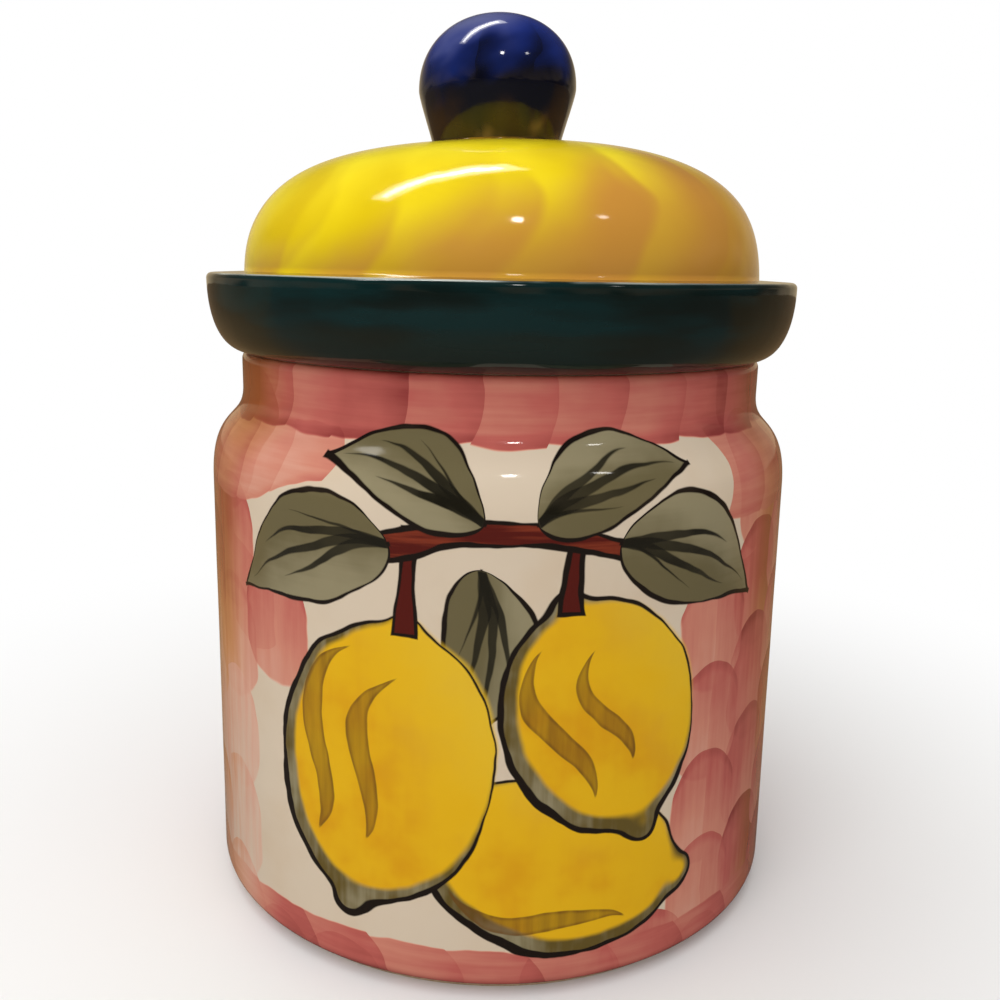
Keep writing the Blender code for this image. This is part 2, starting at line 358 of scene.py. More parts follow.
def spread(rule: Callable[[float], Point], step: float) -> list[Point]:
    """Points along a curve.

    Args:
        rule: Gives the point at a share of the way, from 0 to 1.
        step: The length between points, in metres.

    Returns:
        The points, both ends included.
    """
    rough = [rule(i / ROUGH_COUNT) for i in range(ROUGH_COUNT + 1)]
    length = sum(math.dist(a, b) for a, b in zip(rough, rough[1:]))
    count = max(LEAST_COUNT, math.ceil(length / step))
    return [rule(i / count) for i in range(count + 1)]


def arc(
    centre: Point,
    across: float,
    up: float,
    first: float,
    last: float,
    squareness: float = 2.0,
    step: float = ARC_STEP,
) -> list[Point]:
    """Points on an arc of an ellipse, or of a squared one.

    Args:
        centre: Its centre.
        across: Its half width.
        up: Its half height, negative where it hangs down.
        first: The angle in degrees that the arc starts at.
        last: The angle that it ends at.
        squareness: 2 for an ellipse, and more for one with fuller corners.
        step: The length between points, in metres.

    Returns:
        The points, both ends included.
    """
    power = 2 / squareness

    def rule(share: float) -> Point:
        angle = math.radians(first + (last - first) * share)
        return (centre[0] + across * math.cos(angle) ** power, centre[1] + up * math.sin(angle) ** power)

    return spread(rule, step)


def bezier(*corners: Point) -> list[Point]:
    """Points on a cubic curve with four control points."""

    def rule(t: float) -> Point:
        weights = ((1 - t) ** 3, 3 * t * (1 - t) ** 2, 3 * t * t * (1 - t), t**3)
        return tuple(sum(w * c[axis] for w, c in zip(weights, corners)) for axis in (0, 1))

    return spread(rule, ARC_STEP)


def inwards(points: Sequence[Point], distance: float) -> list[Point]:
    """A line that runs up the outside, moved in by a wall's thickness."""
    moved = []
    for i, (radius, height) in enumerate(points):
        before = Vector(points[max(i - 1, 0)])
        after = Vector(points[min(i + 1, len(points) - 1)])
        along = (after - before).normalized()
        moved.append((radius - along.y * distance, height + along.x * distance))
    return moved


@dataclass(frozen=True)
class Lean:
    """How a piece set by hand leans to the left, more and more between two heights in metres.

    The slope lowers its left side, and the drift moves it that way.
    """

    foot: float
    top: float
    slope: float = 0.028
    drift: float = 0.0022


class Wheel:
    """A Geometry Nodes tree that turns a section about the Z axis, with a hand-made wobble."""

    def __init__(self) -> None:
        """Builds the tree."""
        self.tree = bpy.data.node_groups.new("turn_section", "GeometryNodeTree")
        face = self.tree.interface
        kinds = {"Section": "Geometry", "Facets": "Int", "Wobble": "Float", "Material": "Material"}
        kinds |= dict.fromkeys(("Lean", "Drift", "Lean Foot", "Lean Top"), "Float")
        self.inputs = {
            name: face.new_socket(name, in_out="INPUT", socket_type="NodeSocket" + kind).identifier
            for name, kind in kinds.items()
        }
        face.new_socket("Piece", in_out="OUTPUT", socket_type="NodeSocketGeometry")
        bench = Bench(self.tree)
        section, facets, wobble, material, lean, drift, foot, top = bench.outputs("NodeGroupInput", *kinds)

        # A row of the grid for each point of the section, and a column for each facet.
        rows = bench.node("GeometryNodeAttributeDomainSize", {"component": "MESH"}, {0: section})
        grid = bench.node("GeometryNodeMeshGrid", inputs={"Vertices X": facets + 1, "Vertices Y": rows})
        index = bench.node("GeometryNodeInputIndex")
        column = (index / rows).floor()
        row = index - column * rows
        place = bench.node("GeometryNodeInputPosition")
        skin = bench.node("GeometryNodeInputNamedAttribute", {"data_type": "FLOAT"}, {"Name": "skin"})
        flat = self.sample("FLOAT_VECTOR", section, place, row)
        worn = self.sample("FLOAT", section, skin, row)
        spin = {"Vector": flat, "Angle": column * math.tau / facets}
        turned = bench.node("ShaderNodeVectorRotate", {"rotation_type": "Z_AXIS"}, spin)
        outward = bench.vector_math("NORMALIZE", bench.vector_math("MULTIPLY", turned, (1.0, 1.0, 0.0)))
        swell = bench.noise(turned, WOBBLE_SCALE, 1.0).swing(wobble)
        shaped = bench.vector_math("ADD", turned, bench.vector_math("MULTIPLY", outward, swell))
        shaped = bench.vector_math("ADD", shaped, self.slip(turned, lean, drift, foot, top))

        mesh = bench.node("GeometryNodeSetPosition", inputs={"Geometry": grid, "Position": shaped})
        store = {"data_type": "FLOAT", "domain": "POINT"}
        named = {"Geometry": mesh, "Name": "skin", "Value": worn}
        mesh = bench.node("GeometryNodeStoreNamedAttribute", store, named)
        mesh = bench.node("GeometryNodeMergeByDistance", inputs={"Geometry": mesh, "Distance": WELD})
        mesh = bench.node("GeometryNodeSetShadeSmooth", inputs={"Geometry": mesh})
        mesh = bench.node("GeometryNodeRealizeInstances", inputs={"Geometry": mesh})
        mesh = bench.node("GeometryNodeSetMaterial", inputs={"Geometry": mesh, "Material": material})
        bench.feed(bench.tree.nodes.new("NodeGroupOutput"), 0, mesh)

    @staticmethod
    def slip(place: Signal, lean: Signal, drift: Signal, foot: Signal, top: Signal) -> Signal:
        """How far a place of a leaning piece is moved, more and more from its foot up."""
        x, _, z = place.bench.parts(place)
        share = z.above(foot, top)
        return place.bench.vector(share**4 * drift * -1, 0.0, share * lean * x)

    @staticmethod
    def sample(kind: str, section: Signal, value: Signal, row: Signal) -> Signal:
        """Reads a value of the section's points at a row."""
        settings = {"data_type": kind, "domain": "POINT"}
        inputs = {"Geometry": section, "Value": value, "Index": row}
        return section.bench.node("GeometryNodeSampleIndex", settings, inputs)

    def turn(
        self,
        name: str,
        section: Section,
        facets: int,
        material: bpy.types.Material,
        wobble: float = 0.0,
        lean: Lean | None = None,
    ) -> bpy.types.Object:
        """Turns a section into a finished piece.

        Args:
            name: The piece's name.
            section: Its outline.
            facets: How many facets it has round the axis.
            material: Its finish.
            wobble: How far the wall wanders in and out, in metres.
            lean: How the piece leans, where it does.

        Returns:
            The piece, a plain mesh in its place.
        """
        outline = bpy.data.meshes.new(name + "_section")
        outline.from_pydata([(radius, 0.0, height) for radius, height in section.points], [], [])
        skins = outline.attributes.new("skin", "FLOAT", "POINT")
        skins.data.foreach_set("value", section.skins)
        clay = add_object(name + "_section", outline)
        turning = clay.modifiers.new("turn", "NODES")
        turning.node_group = self.tree
        values = {"Facets": facets, "Wobble": wobble, "Material": material}
        if lean:
            values |= {"Lean": lean.slope, "Drift": lean.drift, "Lean Foot": lean.foot, "Lean Top": lean.top}
        for socket, value in values.items():
            turning[self.inputs[socket]] = value
        mesh = bpy.data.meshes.new_from_object(clay.evaluated_get(bpy.context.evaluated_depsgraph_get()))
        bpy.data.objects.remove(clay)
        bpy.data.meshes.remove(outline)
        shell = bmesh.new()
        shell.from_mesh(mesh)
        bmesh.ops.recalc_face_normals(shell, faces=shell.faces)
        shell.to_mesh(mesh)
        shell.free()
        mesh.name = name
        LOG.info("%s: %d faces", name, len(mesh.polygons))
        return add_object(name, mesh)


@dataclass(frozen=True)
class Ink:
    """The picture's colours."""

    outline: Colour = tint(24, 16, 12)
    vein: Colour = tint(26, 24, 16)
    leaf: Colour = tint(146, 137, 108)
    leaf_shade: Colour = tint(106, 97, 68)
    rind: Colour = tint(230, 180, 24)
    rind_warm: Colour = tint(214, 144, 16)
    rind_light: Colour = tint(232, 198, 58)
    shadow: Colour = tint(98, 82, 38)
    stroke: Colour = tint(106, 70, 24)
    twig: Colour = tint(84, 22, 16)
    twig_light: Colour = tint(128, 52, 32)


@dataclass
class Picture:
    """A painting in the making, on a plane of millimetres round and up the jar.

    Attributes:
        bench: The material's bench.
        place: Millimetres round and up, as a vector.
        pressure: How hard the brush presses, noise about 0.5.
        ink: The colours to paint with.
        colour: The ground, and then all that is painted.
    """

    bench: Bench
    place: Signal
    pressure: Signal
    ink: Ink
    colour: Signal | Colour

    def lay(self, mask: Value, colour: Signal | Colour) -> None:
        """Lays a colour over what is painted, where the mask is."""
        self.colour = self.bench.mix(mask, self.colour, colour)

    def along(self, centre: Point, degrees: float) -> tuple[Signal, Signal]:
        """Distances along and across a line through a centre, in millimetres."""
        turn = math.radians(degrees)
        axis = (math.cos(turn), math.sin(turn), 0.0)
        side = (-axis[1], axis[0], 0.0)
        return (
            self.bench.dot(self.place, axis) - (centre[0] * axis[0] + centre[1] * axis[1]),
            self.bench.dot(self.place, side) - (centre[0] * side[0] + centre[1] * side[1]),
        )

    def fill(self, edge: Signal, colour: Signal | Colour) -> None:
        """Fills a shape, where the distance out from its edge is less than nothing."""
        self.lay(edge.below(-0.1, 0.2), colour)

    def outline(self, edge: Signal, width: Value) -> None:
        """Draws a brush line where a distance is nothing, thicker where the brush presses."""
        half = (self.pressure * 1.7 - 0.3) * width
        self.lay((abs(edge) - half).below(-0.15, 0.25), self.ink.outline)


class Motif:
    """Something that is painted in the picture."""

    def paint(self, picture: Picture, streak: Signal) -> None:
        """Paints it.

        Args:
            picture: The painting.
            streak: Fine brush streaks, noise about 0.5.
        """
        raise NotImplementedError


@dataclass(frozen=True)
class Leaf(Motif):
    """A pointed leaf with a bent midrib, painted in two tones and veined with tapering strokes.

    Each vein has its fan from the midrib, how far along the leaf it reaches, and its weight.
    """

    base: Point
    degrees: float
    length: float
    width: float
    bend: float
    veins: tuple[tuple[float, float, float], ...] = (
        (0.03, 0.92, 2.2),
        (0.5, 0.66, 3.2),
        (-0.46, 0.74, 3.0),
        (-0.9, 0.5, 1.8),
    )

    def paint(self, picture: Picture, streak: Signal) -> None:
        """Paints the two tones, the veins over them, and the outline."""
        ink = picture.ink
        along, across = picture.along(self.base, self.degrees)
        share = (along / self.length).greater(0.0).lesser(1.0)
        offset = across - share * (1 - share) * 4 * self.bend
        half = share**0.7 * (1 - share) ** 1.15 * (3.41 * self.width / 2)
        beyond = abs(along - self.length / 2) - self.length / 2
        edge = ((abs(offset) - half) * 0.9).greater(beyond)
        tone = (offset / self.width + streak.swing(0.2) + picture.pressure * 0.6).above(0.1, 0.7)
        picture.lay(edge.below(-0.15, 0.2), picture.bench.mix(tone, ink.leaf_shade, ink.leaf))
        for fan, reach, weight in self.veins:
            body = (reach - share) * weight * share.above(-0.3, 0.3)
            stroke = abs(offset - half * (share * fan * 1.6)) - body
            inside = share.below(reach - 0.03, reach) * edge.below(-0.8, 0.0)
            picture.lay(stroke.below(-0.3, 0.2) * inside * (picture.pressure * 0.5 + 0.68), ink.vein)
        picture.outline(edge, 0.8)


@dataclass(frozen=True)
class Lemon(Motif):
    """A lemon with a nippled end, a shaded side, see-through strokes and a brushed outline.

    Each stroke has its place across the lemon, its bow, its half length and its half width.
    """

    centre: Point
    degrees: float
    length: float
    width: float
    shade_degrees: float
    strokes: tuple[tuple[float, float, float, float], ...]

    def paint(self, picture: Picture, streak: Signal) -> None:
        """Paints the shaded rim, the lit body, the strokes on it, and the outline."""
        bench, ink, cloud = picture.bench, picture.ink, picture.pressure
        long, wide = self.length / 2, self.width / 2
        along, across = picture.along(self.centre, self.degrees)
        place = bench.vector(along, across)
        ring = bench.length(bench.vector_math("DIVIDE", place, (long, wide, 1.0)))
        slope = bench.length(bench.vector_math("DIVIDE", place, (long * long, wide * wide, 1.0)))
        oval = ring * (ring - 1) / (slope + 1e-4)
        tip = bench.length(bench.vector_math("SUBTRACT", place, (long + 1.2, 0.0, 0.0))) - 4.2
        stem = bench.length(bench.vector_math("ADD", place, (long - 0.8, 0.0, 0.0))) - 3.4
        edge = bench.math("SMOOTH_MIN", bench.math("SMOOTH_MIN", oval, tip, 9.0), stem, 7.0)

        lean = math.radians(self.shade_degrees - self.degrees)
        lit = bench.dot(place, (-math.cos(lean) / wide, -math.sin(lean) / wide, 0.0))
        body = bench.mix((cloud + streak * 0.08).above(0.44, 0.8) * 0.7, ink.rind, ink.rind_warm)
        body = bench.mix((lit * 0.6 + cloud).above(0.55, 1.3) * 0.6, body, ink.rind_light)
        rim = bench.mix((streak * 0.3 + cloud * 0.8).above(0.45, 0.7), ink.shadow, ink.leaf)
        picture.fill(edge, rim)
        nipple = tip.below(-2.5, 0.5) * lit.below(-0.4, 0.0)
        picture.lay((edge + 2.0 - lit * 2.6).below(-1.2, 0.7) * (1 - nipple), body)
        for middle, bow, reach, half in self.strokes:
            share = (along + 2) / reach
            taper = 1 - (share * share).lesser(1.0)
            side = abs(across - middle - taper * (bow + share * half * 3.2)) - taper * half
            strength = 0.6 + side.above(-1.1, -0.1) * 0.2 + streak.swing(0.6)
            picture.lay(side.below(-0.1, 0.3) * abs(share).below(0.94, 1.0) * strength, ink.stroke)
        picture.outline(edge, 1.0 - lit * 0.55)


@dataclass(frozen=True)
class Twig(Motif):
    """A bowed twig that tapers from one place round the jar to another, with bark strokes."""

    centre: Point
    radius: float
    first: float
    last: float
    thick: float
    thin: float

    def paint(self, picture: Picture, streak: Signal) -> None:
        """Paints the bark in streaks, and the outline."""
        bench, ink = picture.bench, picture.ink
        place = bench.vector_math("SUBTRACT", picture.place, (*self.centre, 0.0))
        around = bench.dot(picture.place, (1.0, 0.0, 0.0))
        share = (around - self.first) / (self.last - self.first)
        half = (self.thick + share * (self.thin - self.thick)) / 2
        high = bench.dot(place, (0.0, 1.0, 0.0)).above(0.0, 1.0)
        beyond = abs(around - (self.first + self.last) / 2) - (self.last - self.first) / 2
        bow = abs(bench.length(place) - self.radius) - half + (1 - high) * 50
        edge = bow.greater(beyond)
        picture.fill(edge, bench.mix(streak.above(0.45, 0.7), ink.twig, ink.twig_light))
        picture.outline(edge, 1.1)


@dataclass(frozen=True)
class Stalk(Motif):
    """A short straight stalk that widens where it meets its fruit."""

    top: Point
    foot: Point
    width: float

    def paint(self, picture: Picture, streak: Signal) -> None:
        """Paints the stalk from the twig down to the fruit, without streaks."""
        run = (self.foot[0] - self.top[0], self.foot[1] - self.top[1])
        length = math.hypot(*run)
        along, across = picture.along(self.top, math.degrees(math.atan2(run[1], run[0])))
        share = along / length
        half = (0.55 + share * share * 0.45) * self.width / 2
        edge = (abs(across) - half).greater(abs(along - length / 2) - length / 2)
        picture.fill(edge, picture.ink.twig)
        picture.outline(edge, 0.9)


@dataclass(frozen=True)
class StrokeRow:
    """A row of overlapping brush strokes round the jar, each with its round end to the right.

    One that clears the panel starts higher there, and leaves a gap over its middle.
    """

    low: float
    high: float
    count: int
    bulge: float
    shift: float
    strength: float
    higher_there: float = 0.0


@dataclass(frozen=True)
class DabRound:
    """Columns of round-topped dabs round the jar, each dab over the foot of the one above it."""

    count: int
    shift: float
    half: float
    tall: float
    strength: float


@dataclass(frozen=True)
class GlazedClay:
    """What every glazed piece shares: white glaze inside, bare clay where it was wiped, and gloss.

    The ripple is the height of the glaze's unevenness in metres. The white glaze starts between the
    first two skins, and the bare clay between the last two.
    """

    name: str
    white: Colour = tint(238, 229, 212)
    white_thin: Colour = tint(222, 205, 178)
    clay: Colour = tint(206, 180, 148)
    clay_dark: Colour = tint(172, 140, 104)
    white_from: Point = (0.3, 0.7)
    bare_from: Point = (1.35, 1.65)
    ripple: float = 0.0016
    gloss: float = 0.055
    ior: float = 1.48

    def paint(self, place: Signal) -> Signal:
        """The painted skin's colour."""
        raise NotImplementedError

    def wiped(self, place: Signal, skin: Signal) -> Signal:
        """Where the glaze is wiped off the clay."""
        return skin.above(*self.bare_from)

    def material(self) -> bpy.types.Material:
        """Makes the material.

        Returns:
            A glossy material with the painting, the white inside and the bare clay.
        """
        material, bench, shader = start_material(self.name)
        place = bench.node("ShaderNodeTexCoord", output="Object")
        skin = bench.node("ShaderNodeAttribute", {"attribute_name": "skin"}, output="Fac")
        bare = self.wiped(place, skin)
        grain, drift = bench.noise(place, 900.0, 4.0), bench.noise(place, 34.0)
        white = bench.mix(drift.above(0.3, 0.75) * 0.35, self.white, self.white_thin)
        colour = bench.mix(skin.above(*self.white_from), self.paint(place), white)
        earth = bench.mix(grain.above(0.35, 0.7) * 0.6, self.clay, self.clay_dark)
        bench.feed(shader, "Base Color", bench.mix(bare, colour, earth))
        bench.feed(shader, "Roughness", self.gloss + drift * 0.05 + bare * 0.6)
        height = drift + bench.noise(place, 240.0, 1.0) * 0.05 + bare * grain * 0.5
        relief = {"Strength": 0.35, "Distance": self.ripple, "Height": height}
        bench.feed(shader, "Normal", bench.node("ShaderNodeBump", inputs=relief))
        shader.inputs["IOR"].default_value = self.ior
        return material


@dataclass(frozen=True)
class PaintedJar(GlazedClay):
    """The jar's painting: rose dabs all round, and a cream panel with a lemon branch in front.

    Lengths are in millimetres. The hand wavers by so much. The ramp is how thick the paint is for each
    of the five tints from the ground to the deep rose. The clearing is the middle and the half width
    of the gap that the middle row of strokes leaves over the panel. Motifs behind the twig have
    upright streaks, and the twig and what is in front of it have level ones.
    """

    name: str = "rose_dabs_and_lemons"
    radius: float = 85.5
    panel_half_width: float = 53.0
    panel_spread: float = 18.0
    panel_low: float = 9.0
    stagger: float = 0.3
    lift: float = 0.01
    waver: float = 3.2
    ramp: tuple[float, ...] = (0.0, 0.2, 0.42, 0.68, 1.0)
    ground: Colour = tint(216, 200, 179)
    blush: Colour = tint(220, 170, 150)
    pink: Colour = tint(209, 138, 118)
    rose: Colour = tint(189, 98, 90)
    deep: Colour = tint(142, 58, 56)
    ochre: Colour = tint(208, 142, 78)
    ochre_deep: Colour = tint(150, 78, 38)
    rows: tuple[StrokeRow, ...] = (
        StrokeRow(-10.0, 14.5, 26, 0.30, 0.6, 0.84),
        StrokeRow(119.5, 144.0, 30, 0.26, 0.55, 0.62, 11.0),
        StrokeRow(139.5, 164.5, 27, 0.20, 0.4, 1.0),
    )
    rounds: tuple[DabRound, ...] = (
        DabRound(13, 0.0, 13.8, 27.0, 1.0),
        DabRound(13, 0.5, 13.2, 24.5, 0.94),
    )
    clearing: Point = (9.4, 50.0)
    ink: Ink = Ink()
    behind: tuple[Motif, ...] = (
        Leaf((-3.0, 113.0), -95.0, 44.0, 23.0, 4.0),
        Lemon((17.0, 36.0), -14.0, 70.0, 47.0, 250.0, ((-12.0, -4.0, 24.0, 2.6),)),
        Lemon((28.0, 75.0), -70.0, 62.0, 51.0, 215.0, ((-9.0, -5.0, 21.0, 3.0), (3.0, -4.0, 16.0, 2.4))),
        Lemon((-29.0, 61.0), -101.0, 76.0, 59.0, 208.0, ((-13.0, -6.0, 27.0, 3.4), (1.0, -6.0, 23.0, 3.0))),
        Stalk((-21.0, 122.0), (-22.0, 96.0), 6.0),
        Stalk((19.0, 122.0), (18.0, 102.0), 5.8),
    )
    front: tuple[Motif, ...] = (
        Twig((2.0, 32.0), 90.0, -44.0, 48.0, 7.0, 3.6),
        Leaf((-26.0, 118.0), 201.0, 52.0, 28.0, -5.0),
        Leaf((30.0, 119.0), -23.0, 50.0, 28.0, 5.0),
        Leaf((-3.0, 124.0), 163.0, 44.0, 21.0, -5.0),
        Leaf((9.0, 124.0), 15.0, 44.0, 21.0, 5.0),
    )

    def wiped(self, place: Signal, skin: Signal) -> Signal:
        """The foot ring, wiped to an uneven line just above the table."""
        bench = place.bench
        edge = bench.parts(place)[2] * MM - bench.noise(place, 150.0) * 1.2
        return edge.below(-0.1, 0.15).greater(super().wiped(place, skin))

    def panel(self, around: Signal, up: Signal) -> Signal:
        """1 where the panel's cream ground is kept free of dabs, else 0."""
        wider = up.above(104.0, 112.0) + (up + around * 0.8).below(30.0, 34.0)
        wider = (wider + around.below(-20.0, 0.0) * up.below(78.0, 86.0)).lesser(1.0)
        half = self.panel_half_width + wider * self.panel_spread
        return abs(around).under(half) * up.above(self.panel_low, self.panel_low + 1)

    def thinned_and_lit(self, around: Signal, up: Signal) -> Signal:
        """How far the rose is paler low down on the left: partly thinner paint, partly painted light."""
        return around.within(-140.0, -100.0, -84.0, -58.0) * up.below(70.0, 96.0)

    def dabs(
        self, around: Signal, up: Signal, number: int, rough: Signal
    ) -> list[tuple[Signal, Signal, Signal]]:
        """One round of dab columns.

        Args:
            around: Millimetres round from the front's middle.
            up: Millimetres up.
            number: Which round.
            rough: Noise that roughens the dabs' edges.

        Returns:
            For the upper dabs' feet and then for the lower dabs: where they cover what is under
            them, how thick their paint is, and which are ochre.
        """
        dabs = self.rounds[number]
        wide = math.tau * self.radius / dabs.count
        u = around / wide + 0.5 + dabs.shift
        column, through = u.cells(dabs.count)
        # Each column starts at another height, and each dab's round top bows down to its sides.
        phase = (column * self.stagger - self.lift).fract()
        jog, _, _ = around.bench.chances(column, float(number), 7.0)
        across = through.swing(wide / dabs.half) - jog.swing(0.2)
        bow = 1 - (1 - (across * across).lesser(1.0)) ** 0.5
        v = up / dabs.tall + phase + bow * 0.6
        side = (abs(across) + rough.swing(0.16)).below(0.93, 1.0)
        centre = around - across * dabs.half
        painted = []
        # First the dab above, whose foot reaches down to here, and then the dab that is here. A dab
        # is kept or left out whole, by where its middle is, and is thickest along its round top.
        for step in (1.0, 0.0):
            dab, share = v.floor() + step, v.fract() - step
            tone, chance, _ = around.bench.chances(column, dab, float(number))
            middle = (dab + 0.4 - phase) * dabs.tall
            kept = 1 - self.panel(centre, middle)
            foot = (share - bow * 1.05 + rough.swing(0.2) + 0.36).above(0.0, 0.05)
            paint = 0.24 + share.above(-0.4, 1.0) * 0.26 + share.above(0.84, 0.97) * 0.12 + tone * 0.22
            # Paler low on the left: partly thinner paint, partly painted light.
            paint = paint * (1 - self.thinned_and_lit(centre, middle) * 0.76)
            scorched = centre.within(-150.0, -130.0, -98.0, -90.0) * middle.above(58.0, 68.0)
            ochre = (chance + scorched * 0.6).above(0.58, 0.64)
            painted.append((side * foot * kept * dabs.strength, paint, ochre))
        return painted

    def row(self, around: Signal, up: Signal, number: int) -> tuple[Signal, Signal]:
        """One row of strokes.

        Args:
            around: Millimetres round from the front's middle.
            up: Millimetres up.
            number: Which row.

        Returns:
            Where the row covers what is under it, and how thick its paint is.
        """
        row = self.rows[number]
        wide = math.tau * self.radius / row.count
        low = row.low + abs(around + 8).below(38.0, 70.0) * row.higher_there
        # From -1 at the strokes' feet to 1 at their tops, with the paint wettest at the feet.
        rise = (up * 2 - low - row.high) / (row.high - low)
        bowed = (1 - rise * rise) * row.bulge
        column, share = (around / wide + row.shift - bowed).cells(row.count)
        first, second, _ = around.bench.chances(column, float(number), 3.0)
        wet = rise.below(-0.88, -0.62) * 0.16
        paint = (0.53 + share * share * 0.16 + first * 0.2 + wet) * row.strength
        # Paler low on the left: partly thinner paint, partly painted light.
        paint = paint * (1 - self.thinned_and_lit(around, up) * 0.6)
        end = abs(rise) + (share - 0.6) * (share - 0.6) * 0.2 + second.swing(0.1)
        cover = end.below(0.9, 0.95)
        if row.higher_there:
            centre = around - (share - 0.5 + bowed) * wide
            cover = cover * (1 - abs(centre - self.clearing[0]).under(self.clearing[1]))
        return (cover, paint)

    def strokes(
        self, around: Signal, up: Signal, rough: Signal, level: Signal, upright: Signal
    ) -> tuple[Signal, Signal]:
        """Lays the dabs and then the rows, each partly over what is under it.

        Args:
            around: Millimetres round from the front's middle.
            up: Millimetres up.
            rough: Noise that roughens the dabs' edges.
            level: A level brush's streaks, for the rows.
            upright: An upright brush's streaks, for the dabs.

        Returns:
            How thick the paint is, and how far it has turned ochre.
        """
        # The ground and the dabs are paler low on the left: partly thinner paint, partly painted light.
        thick = (1 - self.panel(around * 0.86, up)) * (0.34 - self.thinned_and_lit(around, up) * 0.26)
        warm: Value = 0.0
        for number in range(len(self.rounds)):
            for cover, paint, ochre in self.dabs(around, up, number, rough):
                thick = (paint + upright.swing(0.24) - thick * 0.82) * cover + thick
                warm = (ochre - warm) * cover + warm
        for number in range(len(self.rows)):
            cover, paint = self.row(around, up, number)
            thick = (paint + level.swing(0.26) - thick * 0.88) * cover + thick
            warm = warm - (warm - 0.5) * cover * 0.8
        return (thick, warm)

    def fired(self, around: Signal, up: Signal, thick: Signal, warm: Signal) -> Signal:
        """The rose glaze's colour, by how thick it is, turned tawny in part at the jar's sides."""
        bench = around.bench
        tints = (self.ground, self.blush, self.pink, self.rose, self.deep)
        stops = list(zip(self.ramp, tints))
        colour = bench.node("ShaderNodeValToRGB", {"stops": stops}, {"Fac": thick})
        tawny = bench.mix(thick.above(0.1, 0.75), self.ochre, self.ochre_deep)
        turned = abs(around).greater(around * -1 + up.above(124.0, 142.0) * 15)
        side = turned.above(74.0, 90.0) * thick.above(0.08, 0.3)
        singed = up.above(130.0, 146.0) * around.within(-150.0, -110.0, -88.0, -72.0)
        return bench.mix((warm * 0.7 + 0.1 + singed * 0.5) * side, colour, tawny)

    def paint(self, place: Signal) -> Signal:
        """The jar's painting, dabs first and the picture over them."""
        bench = place.bench
        x, y, z = bench.parts(place)
        sway, lift, rough = bench.noises(place, 62.0)
        around = bench.angle(x, y) * self.radius + sway.swing(self.waver)
        up = z * MM + lift.swing(self.waver)
        cloud = bench.noise(place, 55.0, 3.0)
        level, upright = bench.streaks(place, 34.0, 520.0), bench.streaks(place, 420.0, 40.0)
        thick, warm = self.strokes(around, up, rough, level, upright)
        # Deeper rose in the lowest few millimetres: painted shade where the base curves under.
        thick = thick * (0.76 + cloud * 0.5) + up.below(2.5, 6.0) * 0.16
        colour = self.fired(around, up, thick, warm)

        ground = bench.mix(cloud.above(0.42, 0.8) * 0.3 * thick.below(0.0, 0.12), colour, self.clay)
        picture = Picture(bench, bench.vector(around, up), cloud, self.ink, ground)
        for motif in self.behind:
            motif.paint(picture, upright)
        for motif in self.front:
            motif.paint(picture, level)
        return picture.colour


